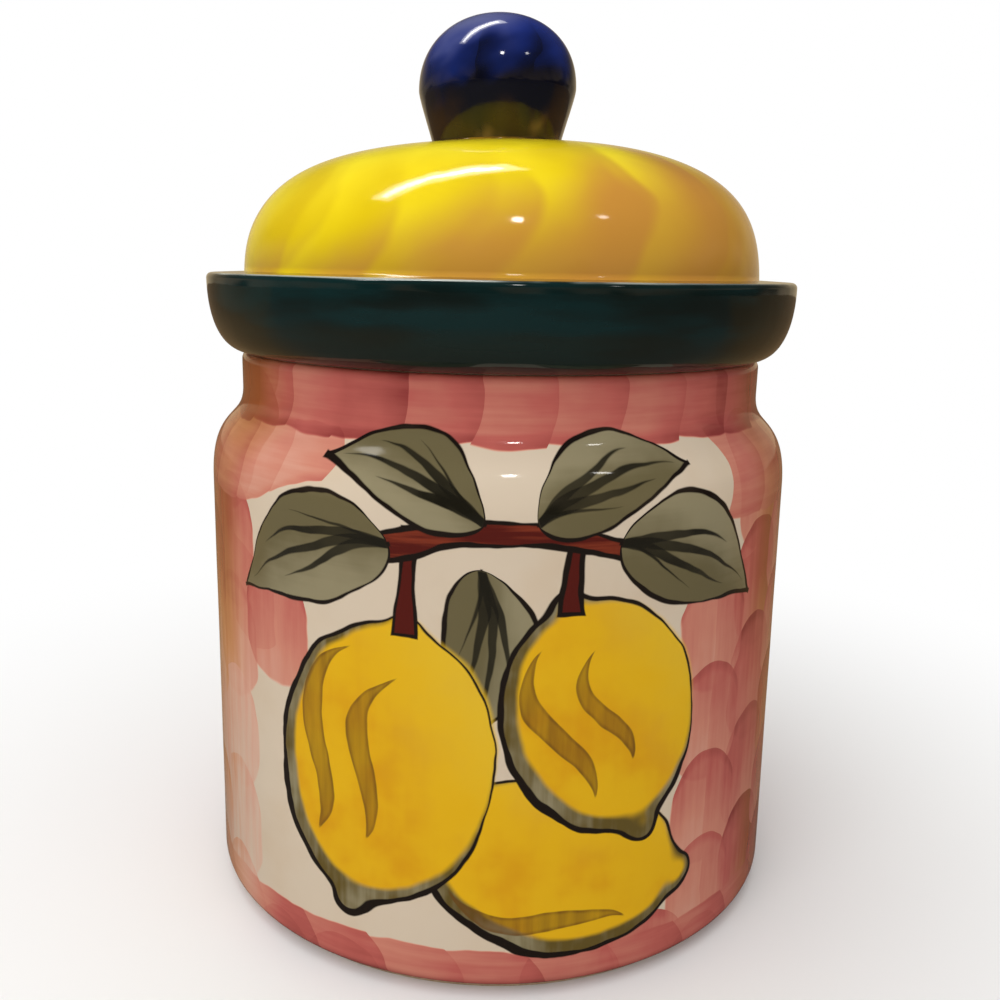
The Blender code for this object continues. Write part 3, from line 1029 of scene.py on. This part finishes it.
@dataclass(frozen=True)
class LidColours(GlazedClay):
    """The lid's glazes: brushed yellow and amber on the dome, dark teal on the rim, with painted light.

    Lengths are in millimetres. The foot and the crown are the dome's, and the petals are the numbers
    of strokes in its two rounds. The dome's lighter top and left are painted light, and its amber is
    partly glaze and partly a painted warm reflection. The rim's darker ends and greyer foot are
    painted reflections, and its pale crest is partly thin glaze and partly a painted highlight.
    """

    name: str = "yellow_dome_and_teal_rim"
    dome_radius: float = 74.6
    foot_height: float = 178.8
    crest_radius: float = 83.5
    crown_height: float = 214.5
    petals: tuple[int, ...] = (15, 11)
    yellow: Colour = tint(232, 204, 12)
    lemon: Colour = tint(255, 236, 42)
    gold: Colour = tint(208, 172, 10)
    amber: Colour = tint(200, 142, 58)
    teal: Colour = tint(8, 38, 39)
    teal_dark: Colour = tint(9, 21, 18)
    teal_grey_reflection: Colour = tint(30, 34, 26)
    crest_white_and_highlight: Colour = tint(196, 204, 196)

    def petal(self, angle: Signal, rise: Signal, sway: Signal, number: int) -> Signal:
        """How thick one round of soft petal strokes lies on the dome."""
        count = self.petals[number]
        u = angle * (count / math.tau) + sway.swing(0.7) - rise * (1 - rise) * 1.2 + number * 0.37
        column, share = u.cells(count)
        first, second, _ = angle.bench.chances(column, 5.0, float(number))
        top = (rise + (share - 0.5) * (share - 0.5) * 0.9).below(0.55 + second * 0.5, 0.85 + second * 0.5)
        return share.within(0.0, 0.75, 0.86, 1.0) * (0.35 + first * 0.65) * top

    def paint(self, place: Signal) -> Signal:
        """The lid's colours, from brush strokes round the dome and the rim, with painted light and
        reflections.
        """
        bench = place.bench
        x, y, z = bench.parts(place)
        angle, up = bench.angle(x, y), z * MM - self.foot_height
        radius = bench.length(bench.vector(x, y)) * MM
        right, front = x * MM / radius, y * -MM / radius
        sway, lift, _ = bench.noises(place, 30.0)
        level = bench.streaks(place, 26.0, 170.0)
        cloud = bench.noise(place, 26.0, 3.0)

        # The dome: yellow strokes, lighter towards the top and left as painted light, with an amber corner
        # low down on the right that is partly glaze and partly a painted warm reflection.
        rise = up / (self.crown_height - self.foot_height)
        wash = self.petal(angle, rise, sway, 0) + self.petal(angle, rise, lift, 1) * 0.7
        # Lighter towards the top and the left: painted light on the lamp side, over random tone.
        bright = cloud + rise * 0.35 - right * 0.16
        colour = bench.mix(bright.above(0.5, 0.95) * 0.8, self.yellow, self.lemon)
        colour = bench.mix(wash * 0.55, colour, self.gold)
        # The amber corner is partly glaze and partly a painted warm reflection, on the front and sides only.
        corner = right * 0.75 - rise * 1.4 + 0.98 + cloud.swing(0.9) + wash * 0.25
        amber_glaze_and_reflection = corner.above(0.15, 0.95) * front.above(-0.9, 0.1)
        colour = bench.mix(amber_glaze_and_reflection * (0.78 + wash * 0.2), colour, self.amber)

        # The rim: teal in level strokes, darker at its left and right ends and greyer below as painted
        # reflections, and pale along its crest, partly thin glaze and partly a painted highlight.
        low = (up + 12 + level.swing(9)).below(-3.0, 3.0)
        # Darker at the left and right ends: painted reflection of the dim room, over random brush tone.
        blues = level + lift * 0.6 - abs(right) * 0.5
        brushed = bench.mix(blues.above(0.4, 0.75), self.teal_dark, self.teal)
        # Greyer below, more on the left: a painted grey reflection.
        brushed = bench.mix(low * (0.55 - right * 0.35), brushed, self.teal_grey_reflection)
        # The pale crest is partly thin glaze and partly a painted highlight, stronger on the left.
        crest = 1 - abs(radius - self.crest_radius + sway.swing(0.8)) / 0.8
        crest_break_and_highlight = crest.above(0.0, 0.6) * (up + 1.3).above(0.0, 0.4)
        crest_break_and_highlight = crest_break_and_highlight * (cloud + lift.swing(0.5)).above(0.3, 0.5) * (0.2 + right.below(0.1, 0.7) * 0.6)
        brushed = bench.mix(crest_break_and_highlight, brushed, self.crest_white_and_highlight)
        brim = (radius + lift.swing(0.9)).above(self.dome_radius + 0.15, self.dome_radius + 0.55)
        under = (up + 2.2).below(-0.4, 0.0)
        return bench.mix(brim.greater(under), colour, brushed)


@dataclass(frozen=True)
class Cobalt(GlazedClay):
    """The knob's glaze: soft cobalt dabs, brown at the stem, with painted reflections and shade."""

    name: str = "brushed_cobalt"
    seat_height: float = 214.8
    top_height: float = 250.3
    dabs: int = 7
    blue: Colour = tint(22, 42, 118)
    night: Colour = tint(6, 8, 24)
    lavender: Colour = tint(124, 128, 164)
    slate_reflection: Colour = tint(26, 28, 38)
    stem: Colour = tint(44, 30, 20)
    stem_light: Colour = tint(112, 86, 46)

    def paint(self, place: Signal) -> Signal:
        """The knob's colours: blue above, near black below, and brown where the dabs end."""
        bench = place.bench
        x, y, z = bench.parts(place)
        rise = (z * MM - self.seat_height) / (self.top_height - self.seat_height)
        sway, lift, rough = bench.noises(place, 55.0)
        cloud = bench.noise(place, 85.0)
        slant = bench.vector(x * 60 + z * 45, y * 60, z * 120 - x * 75)
        sweep = bench.noise(slant, 1.0, 1.5)
        u = bench.angle(x, y) * (self.dabs / math.tau) + sway.swing(0.9) + 0.5
        column, through = u.cells(self.dabs)
        first, second, _ = bench.chances(column, 4.0, 1.0)
        bow = through - 0.5
        # Blue dabs from the top, darker to the right as painted shade, a painted lavender reflection on
        # their upper left, painted grey reflections at the sides, and brown below their round ends.
        # Its last term darkens the blue towards the right: painted shade on the side away from the light.
        tone = rise - bow * bow * 0.4 + first.swing(0.1) + lift.swing(0.3) + sweep.swing(0.5) - x * 6
        colour = bench.mix(tone.above(0.36, 0.84), self.night, self.blue)
        left = (x * -MM + rise * 16 + rough.swing(10)).above(6.0, 20.0)
        # A painted lavender reflection on the upper left.
        lavender_reflection = left * (sweep * 0.7 + rise * 1.3 + cloud.swing(0.3)).above(1.1, 1.6)
        colour = bench.mix(lavender_reflection * 0.5, colour, self.lavender)
        # Painted grey reflections at the left and right edges, low down.
        grey_edge_reflection = (abs(x) * MM + rough.swing(9)).above(14.0, 22.0) * rise.below(0.45, 0.75)
        colour = bench.mix(grey_edge_reflection * 0.6, colour, self.slate_reflection)
        hem = rise + bow * bow * 0.7 + second.swing(0.1) + lift.swing(0.3) + cloud.swing(0.2)
        bare = hem.below(0.2, 0.42)
        patch = (cloud + rough.swing(0.8)).above(0.52, 0.72) * rise.below(0.0, 0.34)
        earth = bench.mix(patch, self.stem, self.stem_light)
        return bench.mix(bare * 0.94, colour, earth)


@dataclass(frozen=True)
class PlainYellow(GlazedClay):
    """The yellow glaze by itself, where it gathers round the knob's stem."""

    name: str = "gathered_yellow"
    yellow: Colour = tint(150, 112, 24)
    brown: Colour = tint(74, 50, 24)

    def paint(self, place: Signal) -> Signal:
        """Yellow with brown where the knob's colour ran into it."""
        ran = place.bench.noise(place, 110.0).above(0.3, 0.6)
        return place.bench.mix(ran, self.yellow, self.brown)


@dataclass(frozen=True)
class Silicone:
    """Milky silicone rubber with a little dust, which light enters to a depth in metres."""

    name: str = "milky_silicone"
    colour: Colour = tint(226, 224, 214)
    dust: Colour = tint(200, 192, 174)
    milkiness: float = 0.25
    depth: tuple[float, float, float] = (0.002, 0.002, 0.0018)

    def material(self) -> bpy.types.Material:
        """Makes the material, soft, slightly see-through and satin."""
        material, bench, shader = start_material(self.name)
        cloud = bench.noise(bench.node("ShaderNodeTexCoord", output="Object"), 160.0, 3.0)
        bench.feed(shader, "Base Color", bench.mix(cloud.above(0.5, 0.8) * 0.5, self.colour, self.dust))
        bench.feed(shader, "Roughness", 0.3 + cloud * 0.2)
        relief = {"Strength": 0.2, "Distance": 0.0001, "Height": cloud}
        bench.feed(shader, "Normal", bench.node("ShaderNodeBump", inputs=relief))
        shader.inputs["Subsurface Weight"].default_value = self.milkiness
        shader.inputs["Subsurface Radius"].default_value = self.depth
        return material


@dataclass
class Jar:
    """The jar: floor, body, shoulder, neck, lip and foot ring.

    Sizes are in metres, and the base corner's round ends at an angle in degrees.
    """

    height: float
    body_radius: float = 0.0861
    body_taper: float = 0.0011
    base_corner: float = 0.0038
    base_end: float = -72.0
    foot_inset: float = 0.0040
    foot_height: float = 0.0022
    foot_width: float = 0.0068
    foot_recess: float = 0.0030
    foot_bevel: float = 0.0006
    shoulder_height: float = 0.0258
    shoulder_fullness: float = 0.0198
    shoulder_reach: float = 0.0110
    shoulder_setback: float = 0.0092
    neck_height: float = 0.0098
    wall: float = 0.0060
    floor: float = 0.0075
    floor_corner: float = 0.0100
    lip_outer: float = 0.0022
    lip_inner: float = 0.0016
    facets: int = 256
    wobble: float = 0.00030

    @property
    def neck_radius(self) -> float:
        """The neck's outer radius."""
        return self.body_radius - self.body_taper - self.shoulder_setback

    @property
    def bore_radius(self) -> float:
        """The mouth's radius."""
        return self.neck_radius - self.wall

    def section(self) -> Section:
        """The jar's outline, from the middle of its floor over the lip to the middle of its base."""
        shoulder_radius = self.body_radius - self.body_taper
        neck_foot = self.height - self.neck_height
        shoulder_foot = neck_foot - self.shoulder_height
        shoulder = bezier(
            (shoulder_radius, shoulder_foot),
            (shoulder_radius, shoulder_foot + self.shoulder_fullness),
            (self.neck_radius, neck_foot - self.shoulder_reach),
            (self.neck_radius, neck_foot),
        )
        corner = (self.body_radius - self.wall - self.floor_corner, self.floor + self.floor_corner)
        inner_lip = (self.bore_radius + self.lip_inner, self.height - self.lip_inner)
        outer_lip = (self.neck_radius - self.lip_outer, self.height - self.lip_outer)
        base = (self.body_radius - self.base_corner, self.foot_height + self.base_corner)
        foot_radius = self.body_radius - self.foot_inset
        foot_bore = foot_radius - self.foot_width
        inner_wall = inwards(shoulder, self.wall)

        # Up the inside.
        line = Section().wear(Skin.WHITE).add([(0.0, self.floor)])
        line.run((corner[0], self.floor)).arc(corner, self.floor_corner, -90, 0)
        line.run(inner_wall[0]).add(inner_wall).run((self.bore_radius, inner_lip[1]))
        # Over the lip and down the outside to the foot ring.
        line.arc(inner_lip, self.lip_inner, 180, 90)
        line.run((outer_lip[0], self.height), step=EDGE_STEP)
        line.wear(Skin.PAINTED).arc(outer_lip, self.lip_outer, 90, 0)
        line.run((self.neck_radius, neck_foot), step=NECK_STEP).add(shoulder[::-1])
        line.run((self.body_radius, base[1])).arc(base, self.base_corner, 0, self.base_end)
        line.run((foot_radius, self.foot_bevel * 2), step=FOOT_STEP)
        line.wear(Skin.BARE).run((foot_radius - self.foot_bevel, 0.0), step=BEVEL_STEP)
        line.run((foot_bore, 0.0), (foot_bore - self.foot_recess, self.foot_recess), step=BORE_STEP)
        return line.wear(Skin.WHITE).run((0.0, self.foot_recess))

    def build(self, wheel: Wheel) -> None:
        """Turns and dresses the jar."""
        finish = PaintedJar()
        jar = wheel.turn("painted_jar", self.section(), self.facets, finish.material(), self.wobble)
        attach(jar, Body.JAR.value)
        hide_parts("jar_body")


@dataclass
class Lid:
    """The lid: a hollow dome with a bowl-shaped rim, and the plug that locates it.

    Sizes are in metres. The angles, in degrees, are where the bowl's glaze ends, where the fillet in
    the hollow starts, and where the corner between the hollow rim and the hollow dome ends.
    """

    seat: float
    neck_radius: float
    bore_radius: float
    wall: float = 0.0050
    seat_inset: float = 0.0014
    overhang: float = 0.0089
    side_height: float = 0.0198
    bowl_squareness: float = 2.3
    bare_from: float = 82.0
    fillet_from: float = 35.0
    corner_to: float = 195.0
    edge_rounding: float = 0.0015
    top_rise: float = 0.0004
    inner_fillet: float = 0.0018
    dome_inset: float = 0.0013
    dome_depth: float = 0.0078
    dome_height: float = 0.0438
    squareness: float = 3.0
    crown_flat: float = 0.0193
    crown_hole: float = 0.0110
    plug_clearance: float = 0.0013
    plug_depth: float = 0.0110
    plug_rounding: float = 0.0016
    groove_depth: float = 0.0020
    groove_height: float = 0.0052
    bead_rise: float = 0.0011
    bead_bite: float = 0.0006
    bead_gap: float = 0.00005
    facets: int = 256
    wobble: float = 0.00024

    @property
    def plug_radius(self) -> float:
        """The locating plug's outer radius."""
        return self.bore_radius - self.plug_clearance

    @property
    def lean(self) -> Lean:
        """How the dome and the knob on it lean, from the dome's foot up."""
        line = self.dome(0.0)
        return Lean(foot=line[-1][1], top=line[0][1])

    @property
    def groove_floor(self) -> float:
        """The radius of the floor of the sealing ring's groove."""
        return self.plug_radius - self.groove_depth

    def dome(self, inset: float) -> list[Point]:
        """The dome's line from the crown's flat to its foot, inside or outside."""
        radius = self.neck_radius - self.dome_inset - inset
        height = self.dome_height - inset
        top = math.degrees(math.acos((self.crown_flat / radius) ** (self.squareness / 2)))
        foot = math.degrees(math.asin((self.dome_depth / height) ** (self.squareness / 2)))
        rim = self.seat + self.side_height + self.edge_rounding + self.top_rise
        centre = (0.0, rim - self.dome_depth)
        return arc(centre, radius, height, top, foot, self.squareness, DOME_STEP)

    def bowl(self, wall: float, first: float, last: float) -> list[Point]:
        """The rim's bowl, a squared ellipse, between two angles down from its widest line."""
        centre = (self.neck_radius - self.seat_inset, self.seat + self.side_height)
        across = self.overhang + self.seat_inset - wall
        return arc(centre, across, wall - self.side_height, first, last, self.bowl_squareness)

    def section(self) -> Section:
        """The lid's closed outline, over the dome and rim to the plug, then round the hollow."""
        flange_radius = self.neck_radius + self.overhang
        equator = self.seat + self.side_height
        top_edge = (flange_radius - self.edge_rounding, equator)
        outer, inner = self.dome(0.0), self.dome(self.wall)
        plug_bore = self.plug_radius - self.wall
        plug_edge = self.seat - self.plug_depth + self.plug_rounding
        groove_floor = self.groove_floor
        groove_top = self.seat + (self.groove_height - self.plug_depth) / 2
        groove_foot = groove_top - self.groove_height
        fillet_height = equator + self.edge_rounding - self.wall - self.inner_fillet
        fillet = (flange_radius - self.wall - self.inner_fillet, fillet_height)
        hollow_share = (equator - fillet_height) / (self.side_height - self.wall)
        hollow_top = math.degrees(math.asin(hollow_share ** (self.bowl_squareness / 2)))
        hollow = self.bowl(self.wall, 90, hollow_top)

        # Over the dome and the rim's bowl to the seat.
        line = Section().add([(self.crown_hole, outer[0][1])]).run(outer[0]).add(outer)
        line.run((top_edge[0], equator + self.edge_rounding), step=EDGE_STEP)
        line.arc(top_edge, self.edge_rounding, 90, 0)
        line.add(self.bowl(0.0, 0, self.bare_from))
        line.wear(Skin.BARE).add(self.bowl(0.0, self.bare_from, 90))
        line.run((self.plug_radius, self.seat), step=EDGE_STEP)
        # Down the plug, with its groove, and round its foot.
        line.wear(Skin.WHITE).run((self.plug_radius, groove_top), (groove_floor, groove_top))
        line.run((groove_floor, groove_foot), (self.plug_radius, groove_foot), step=EDGE_STEP)
        line.run((self.plug_radius, plug_edge), step=EDGE_STEP)
        outer_centre = (self.plug_radius - self.plug_rounding, plug_edge)
        inner_centre = (plug_bore + self.plug_rounding, plug_edge)
        line.arc(outer_centre, self.plug_rounding, 0, -90)
        line.arc(inner_centre, self.plug_rounding, -90, -180)
        # Up the inside, through the hollow rim and under the dome to the crown's hole.
        line.run((plug_bore, self.seat + self.wall), hollow[0], step=DOME_STEP).add(hollow)
        line.arc(fillet, self.inner_fillet, self.fillet_from, 90)
        line.arc(outer[-1], self.wall, 270, self.corner_to).add(inner[::-1])
        line.run((self.crown_hole, inner[0][1]), (self.crown_hole, outer[0][1]), step=BORE_STEP)
        return line

    def bead(self, stem_radius: float) -> Section:
        """The glaze that gathers in the corner between the crown and the knob's stem."""
        crown = self.dome(0.0)[0][1] + self.bead_gap
        rise = self.bead_rise
        centre = (stem_radius + rise + self.bead_gap, crown + rise)
        line = Section().add([(stem_radius - self.bead_bite, crown)])
        line.run((stem_radius + rise, crown), step=FINE_STEP)
        return line.arc(centre, rise, -90, -180).run(line.points[0], step=FINE_STEP)

    def build(self, wheel: Wheel, knob: Knob) -> None:
        """Turns and dresses the lid, and the bead of glaze where the knob is luted to it."""
        finish = LidColours(foot_height=self.lean.foot * MM, crown_height=self.lean.top * MM)
        lid = wheel.turn("domed_lid", self.section(), self.facets, finish.material(), self.wobble, self.lean)
        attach(lid, Body.LID.value)
        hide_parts("lid_shell")
        glaze = PlainYellow().material()
        bead = wheel.turn("knob_bead", self.bead(knob.stem_radius), knob.facets, glaze, lean=self.lean)
        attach(bead, Body.LID.value)


@dataclass
class Knob:
    """The ball knob, cast hollow, with the spigot that it is luted in by. In metres."""

    seat: float
    spigot_end: float
    radius: float = 0.0224
    wall: float = 0.0050
    cap: float = 0.0202
    squareness: float = 2.15
    taper_height: float = 0.0153
    taper: float = 0.0040
    upper_reach: float = 0.0020
    lower_reach: float = 0.0040
    flare: float = 0.0010
    rounding: float = 0.0008
    spigot_radius: float = 0.0107
    spigot_wall: float = 0.0032
    throat: float = 0.0028
    facets: int = 160
    wobble: float = 0.00030

    @property
    def stem_radius(self) -> float:
        """The stem's radius where it meets the crown."""
        return self.radius - self.taper

    def cap_line(self, radius: float, height: float) -> list[Point]:
        """The squared cap's line from its top down to the knob's widest place."""
        middle = self.seat + self.taper_height
        line = arc((0.0, middle), radius, height, 90, 0, self.squareness, CAP_STEP)
        return [(0.0, middle + height), *line[1:]]

    def section(self) -> Section:
        """The knob's outline, from its top over the stem and spigot to the top of its hollow."""
        ball = (0.0, self.seat + self.taper_height)
        hollow = self.radius - self.wall
        throat_radius = self.spigot_radius - self.spigot_wall
        throat = self.seat + self.throat
        stem_edge = (self.stem_radius - self.rounding, self.seat + self.rounding)
        taper = bezier(
            (self.radius, ball[1]),
            (self.radius, ball[1] - self.upper_reach),
            (self.stem_radius + self.flare, stem_edge[1] + self.lower_reach),
            (self.stem_radius, stem_edge[1]),
        )
        belly = bezier(
            (throat_radius, throat),
            ((throat_radius + hollow) / 2, throat),
            (hollow, (throat + ball[1]) / 2),
            (hollow, ball[1]),
        )
        line = Section().add(self.cap_line(self.radius, self.cap)).add(taper)
        line.arc(stem_edge, self.rounding, 0, -90)
        line.wear(Skin.BARE).run((self.spigot_radius, self.seat), (self.spigot_radius, self.spigot_end))
        line.run((throat_radius, self.spigot_end), belly[0]).add(belly)
        return line.add(self.cap_line(hollow, self.cap - self.wall)[::-1])

    def build(self, wheel: Wheel, lean: Lean) -> None:
        """Turns and dresses the knob, leaning with the lid's crown."""
        top = self.seat + self.taper_height + self.cap
        finish = Cobalt(seat_height=self.seat * MM, top_height=top * MM)
        knob = wheel.turn("cobalt_knob", self.section(), self.facets, finish.material(), self.wobble, lean)
        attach(knob, Body.LID.value)
        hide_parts("lid_knob")


@dataclass
class SealingRing:
    """The sealing ring: a band in the lid's groove with two soft fins. In metres."""

    inner_radius: float
    reach: float
    top: float
    foot: float
    band: float = 0.0016
    root: float = 0.0010
    tip: float = 0.0005
    inset: float = 0.0004
    play: float = 0.0003
    facets: int = 192

    def section(self) -> Section:
        """The ring's closed outline, with each fin rounded at its tip."""
        band = self.inner_radius + self.band
        line = Section().add([(self.inner_radius, self.top)]).run((band, self.top), step=FINE_STEP)
        for top in (self.top - self.inset, self.foot + self.inset + self.root):
            tip = (self.reach - self.tip / 2, top - self.tip / 2)
            line.run((band, top), (tip[0], top), step=FINE_STEP)
            line.arc(tip, self.tip / 2, 90, -90).run((band, top - self.root), step=FINE_STEP)
        line.run((band, self.foot), (self.inner_radius, self.foot), step=FINE_STEP)
        return line.run((self.inner_radius, self.top), step=FINE_STEP)

    def build(self, wheel: Wheel) -> None:
        """Turns and dresses the ring."""
        ring = wheel.turn("finned_ring", self.section(), self.facets, Silicone().material())
        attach(ring, Body.SEAL.value)
        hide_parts("lid_seal")


@dataclass(frozen=True)
class Lamp:
    """An area lamp: its place, what it faces, its size in metres and its power in watts."""

    name: str
    place: tuple[float, float, float]
    size: tuple[float, float]
    power: float
    reflected: bool
    facing: tuple[float, float, float] = (0.0, 0.0, 0.16)
    turn: float = 0.0
    colour: tuple[float, float, float] = (1.0, 0.98, 0.95)

    def place_it(self) -> None:
        """Adds the lamp, which either lights the jar or is only seen in its glaze."""
        light = bpy.data.lights.new(self.name, "AREA")
        light.shape = "RECTANGLE"
        light.size, light.size_y = self.size
        light.energy = self.power
        light.color = self.colour
        lamp = add_object(self.name, light)
        aim = Vector(self.facing) - Vector(self.place)
        facing = aim.to_track_quat("-Z", "Y").to_matrix().to_4x4()
        lamp.matrix_world = facing @ Euler((0.0, 0.0, math.radians(self.turn))).to_matrix().to_4x4()
        lamp.location = self.place
        lamp.visible_glossy = self.reflected
        lamp.visible_diffuse = not self.reflected


@dataclass
class Studio:
    """A pale floor, soft light and the camera where the photograph was taken from.

    The floor turns white between two distances from the jar, and the glaze mirrors its boards, which
    turn browner behind the jar between two depths. All of these are in metres, and angles in degrees.
    """

    camera_place: tuple[float, float, float] = (0.0, -0.308, 0.1813)
    pitch: float = 13.0
    roll: float = 1.1
    lens: float = 36.39
    shift: float = 0.0025
    clip_start: float = 0.01
    floor_size: float = 12.0
    white_from: Point = (0.10, 0.34)
    behind_from: Point = (-0.06, 0.10)
    room: Colour = (0.30, 0.23, 0.16, 1.0)
    room_dark: Colour = (0.05, 0.04, 0.035, 1.0)
    backdrop: Colour = (0.56, 0.44, 0.27, 1.0)
    boards: Colour = (0.13, 0.115, 0.10, 1.0)
    boards_behind: Colour = (0.24, 0.14, 0.05, 1.0)
    ceiling: Colour = (0.07, 0.065, 0.06, 1.0)
    soft_light: Colour = (0.76, 0.75, 0.73, 1.0)
    bounce: Colour = (0.50, 0.48, 0.46, 1.0)
    pale: Colour = (0.86, 0.87, 0.88, 1.0)
    lamps: tuple[Lamp, ...] = (
        Lamp("softbox", (-0.40, -0.85, 0.85), (0.8, 0.8), 5.0, False),
        Lamp("overhead", (-0.30, 0.0, 1.1), (0.9, 0.9), 3.0, False),
        Lamp("ceiling_tube", (-0.37, 0.13, 1.2), (0.8, 0.075), 2.7, True, (-0.37, 0.13, 0.0), 33.0),
        Lamp("tube_shade", (-0.37, 0.13, 1.21), (0.95, 0.2), 2.5, True, (-0.37, 0.13, 0.0), 33.0),
        Lamp("front_spot", (0.10, -0.90, 1.07), (0.085, 0.085), 0.9, True),
        Lamp("side_spot", (0.58, -0.50, 0.90), (0.06, 0.06), 0.16, True),
    )

    def world(self) -> None:
        """White as far as the camera sees, a dim warm room in the glaze, and soft light."""
        world = bpy.data.worlds.new("studio")
        world.use_nodes = True
        bpy.context.scene.world = world
        bench = Bench(world.node_tree)
        rays = ("Is Camera Ray", "Is Glossy Ray", "Is Transmission Ray")
        camera, glossy, through = bench.outputs("ShaderNodeLightPath", *rays)
        way = bench.node("ShaderNodeTexCoord", output="Generated")
        _, back, up = bench.parts(way)
        furniture = bench.noise(way, 2.2, 1.0).above(0.42, 0.58)
        walls = bench.mix(furniture, self.room_dark, self.room)
        walls = bench.mix(back.above(0.45, 1.0), walls, self.backdrop)
        reflected = bench.mix(up.above(0.1, 0.5), walls, self.ceiling)
        colour = bench.mix(glossy.greater(through), self.soft_light, reflected)
        background = world.node_tree.nodes["Background"]
        bench.feed(background, "Color", bench.mix(camera, colour, WHITE))

    def floor(self) -> None:
        """A pale floor that keeps the jar's shadow and turns white further off, brown in the glaze."""
        mesh = bpy.data.meshes.new("floor")
        half = self.floor_size / 2
        corners = [(-half, -half, 0.0), (half, -half, 0.0), (half, half, 0.0), (-half, half, 0.0)]
        mesh.from_pydata(corners, [], [(0, 1, 2, 3)])
        material, bench, shader = start_material("pale_floor")
        shader.inputs["Roughness"].default_value = 0.9
        camera, glossy = bench.outputs("ShaderNodeLightPath", "Is Camera Ray", "Is Glossy Ray")
        place = bench.node("ShaderNodeTexCoord", output="Object")
        boards = bench.mix(bench.parts(place)[1].above(*self.behind_from), self.boards, self.boards_behind)
        bounce = bench.mix(glossy, self.bounce, boards)
        bench.feed(shader, "Base Color", bench.mix(camera, bounce, self.pale))
        glow = bench.node("ShaderNodeEmission", inputs={"Color": WHITE})
        far = bench.length(place).above(*self.white_from) * camera
        paint = Signal(bench, shader.outputs[0])
        mixed = bench.node("ShaderNodeMixShader", inputs={0: far, 1: paint, 2: glow})
        bench.feed(bench.tree.nodes["Material Output"], "Surface", mixed)
        mesh.materials.append(material)
        floor = add_object("floor", mesh)

    def camera(self) -> None:
        """The camera, a little above the jar's mouth and close to it."""
        data = bpy.data.cameras.new("camera")
        data.lens = self.lens
        data.shift_x = self.shift
        data.clip_start = self.clip_start
        camera = add_object("camera", data)
        tilt = Euler((math.radians(90.0 - self.pitch), 0.0, 0.0)).to_matrix()
        turn = Euler((0.0, 0.0, math.radians(self.roll))).to_matrix()
        camera.matrix_world = (tilt @ turn).to_4x4()
        camera.location = self.camera_place
        bpy.context.scene.camera = camera

    def build(self) -> None:
        """Sets up the floor, the light and the camera."""
        bpy.context.scene.view_settings.view_transform = "Standard"
        self.world()
        self.floor()
        for lamp in self.lamps:
            lamp.place_it()
        self.camera()


def main() -> None:
    """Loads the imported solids, dresses them, and sets up the studio."""
    logging.basicConfig(level=logging.INFO, format="%(name)s: %(message)s")
    for old in list(bpy.data.objects):
        bpy.data.objects.remove(old)
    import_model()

    wheel = Wheel()
    jar = Jar(height=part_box("jar_body")[1].z)
    plug_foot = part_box("lid_shell")[0].z
    lid = Lid(plug_foot + Lid.plug_depth, jar.neck_radius, jar.bore_radius)
    knob_low, knob_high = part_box("lid_knob")
    knob = Knob(knob_high.z - Knob.cap - Knob.taper_height, knob_low.z)
    seal_low, seal_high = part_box("lid_seal")
    ring = SealingRing(lid.groove_floor + SealingRing.play, seal_high.x, seal_high.z, seal_low.z)

    jar.build(wheel)
    ring.build(wheel)
    lid.build(wheel, knob)
    knob.build(wheel, lid.lean)
    Studio().build()


if __name__ == "__main__":
    main()
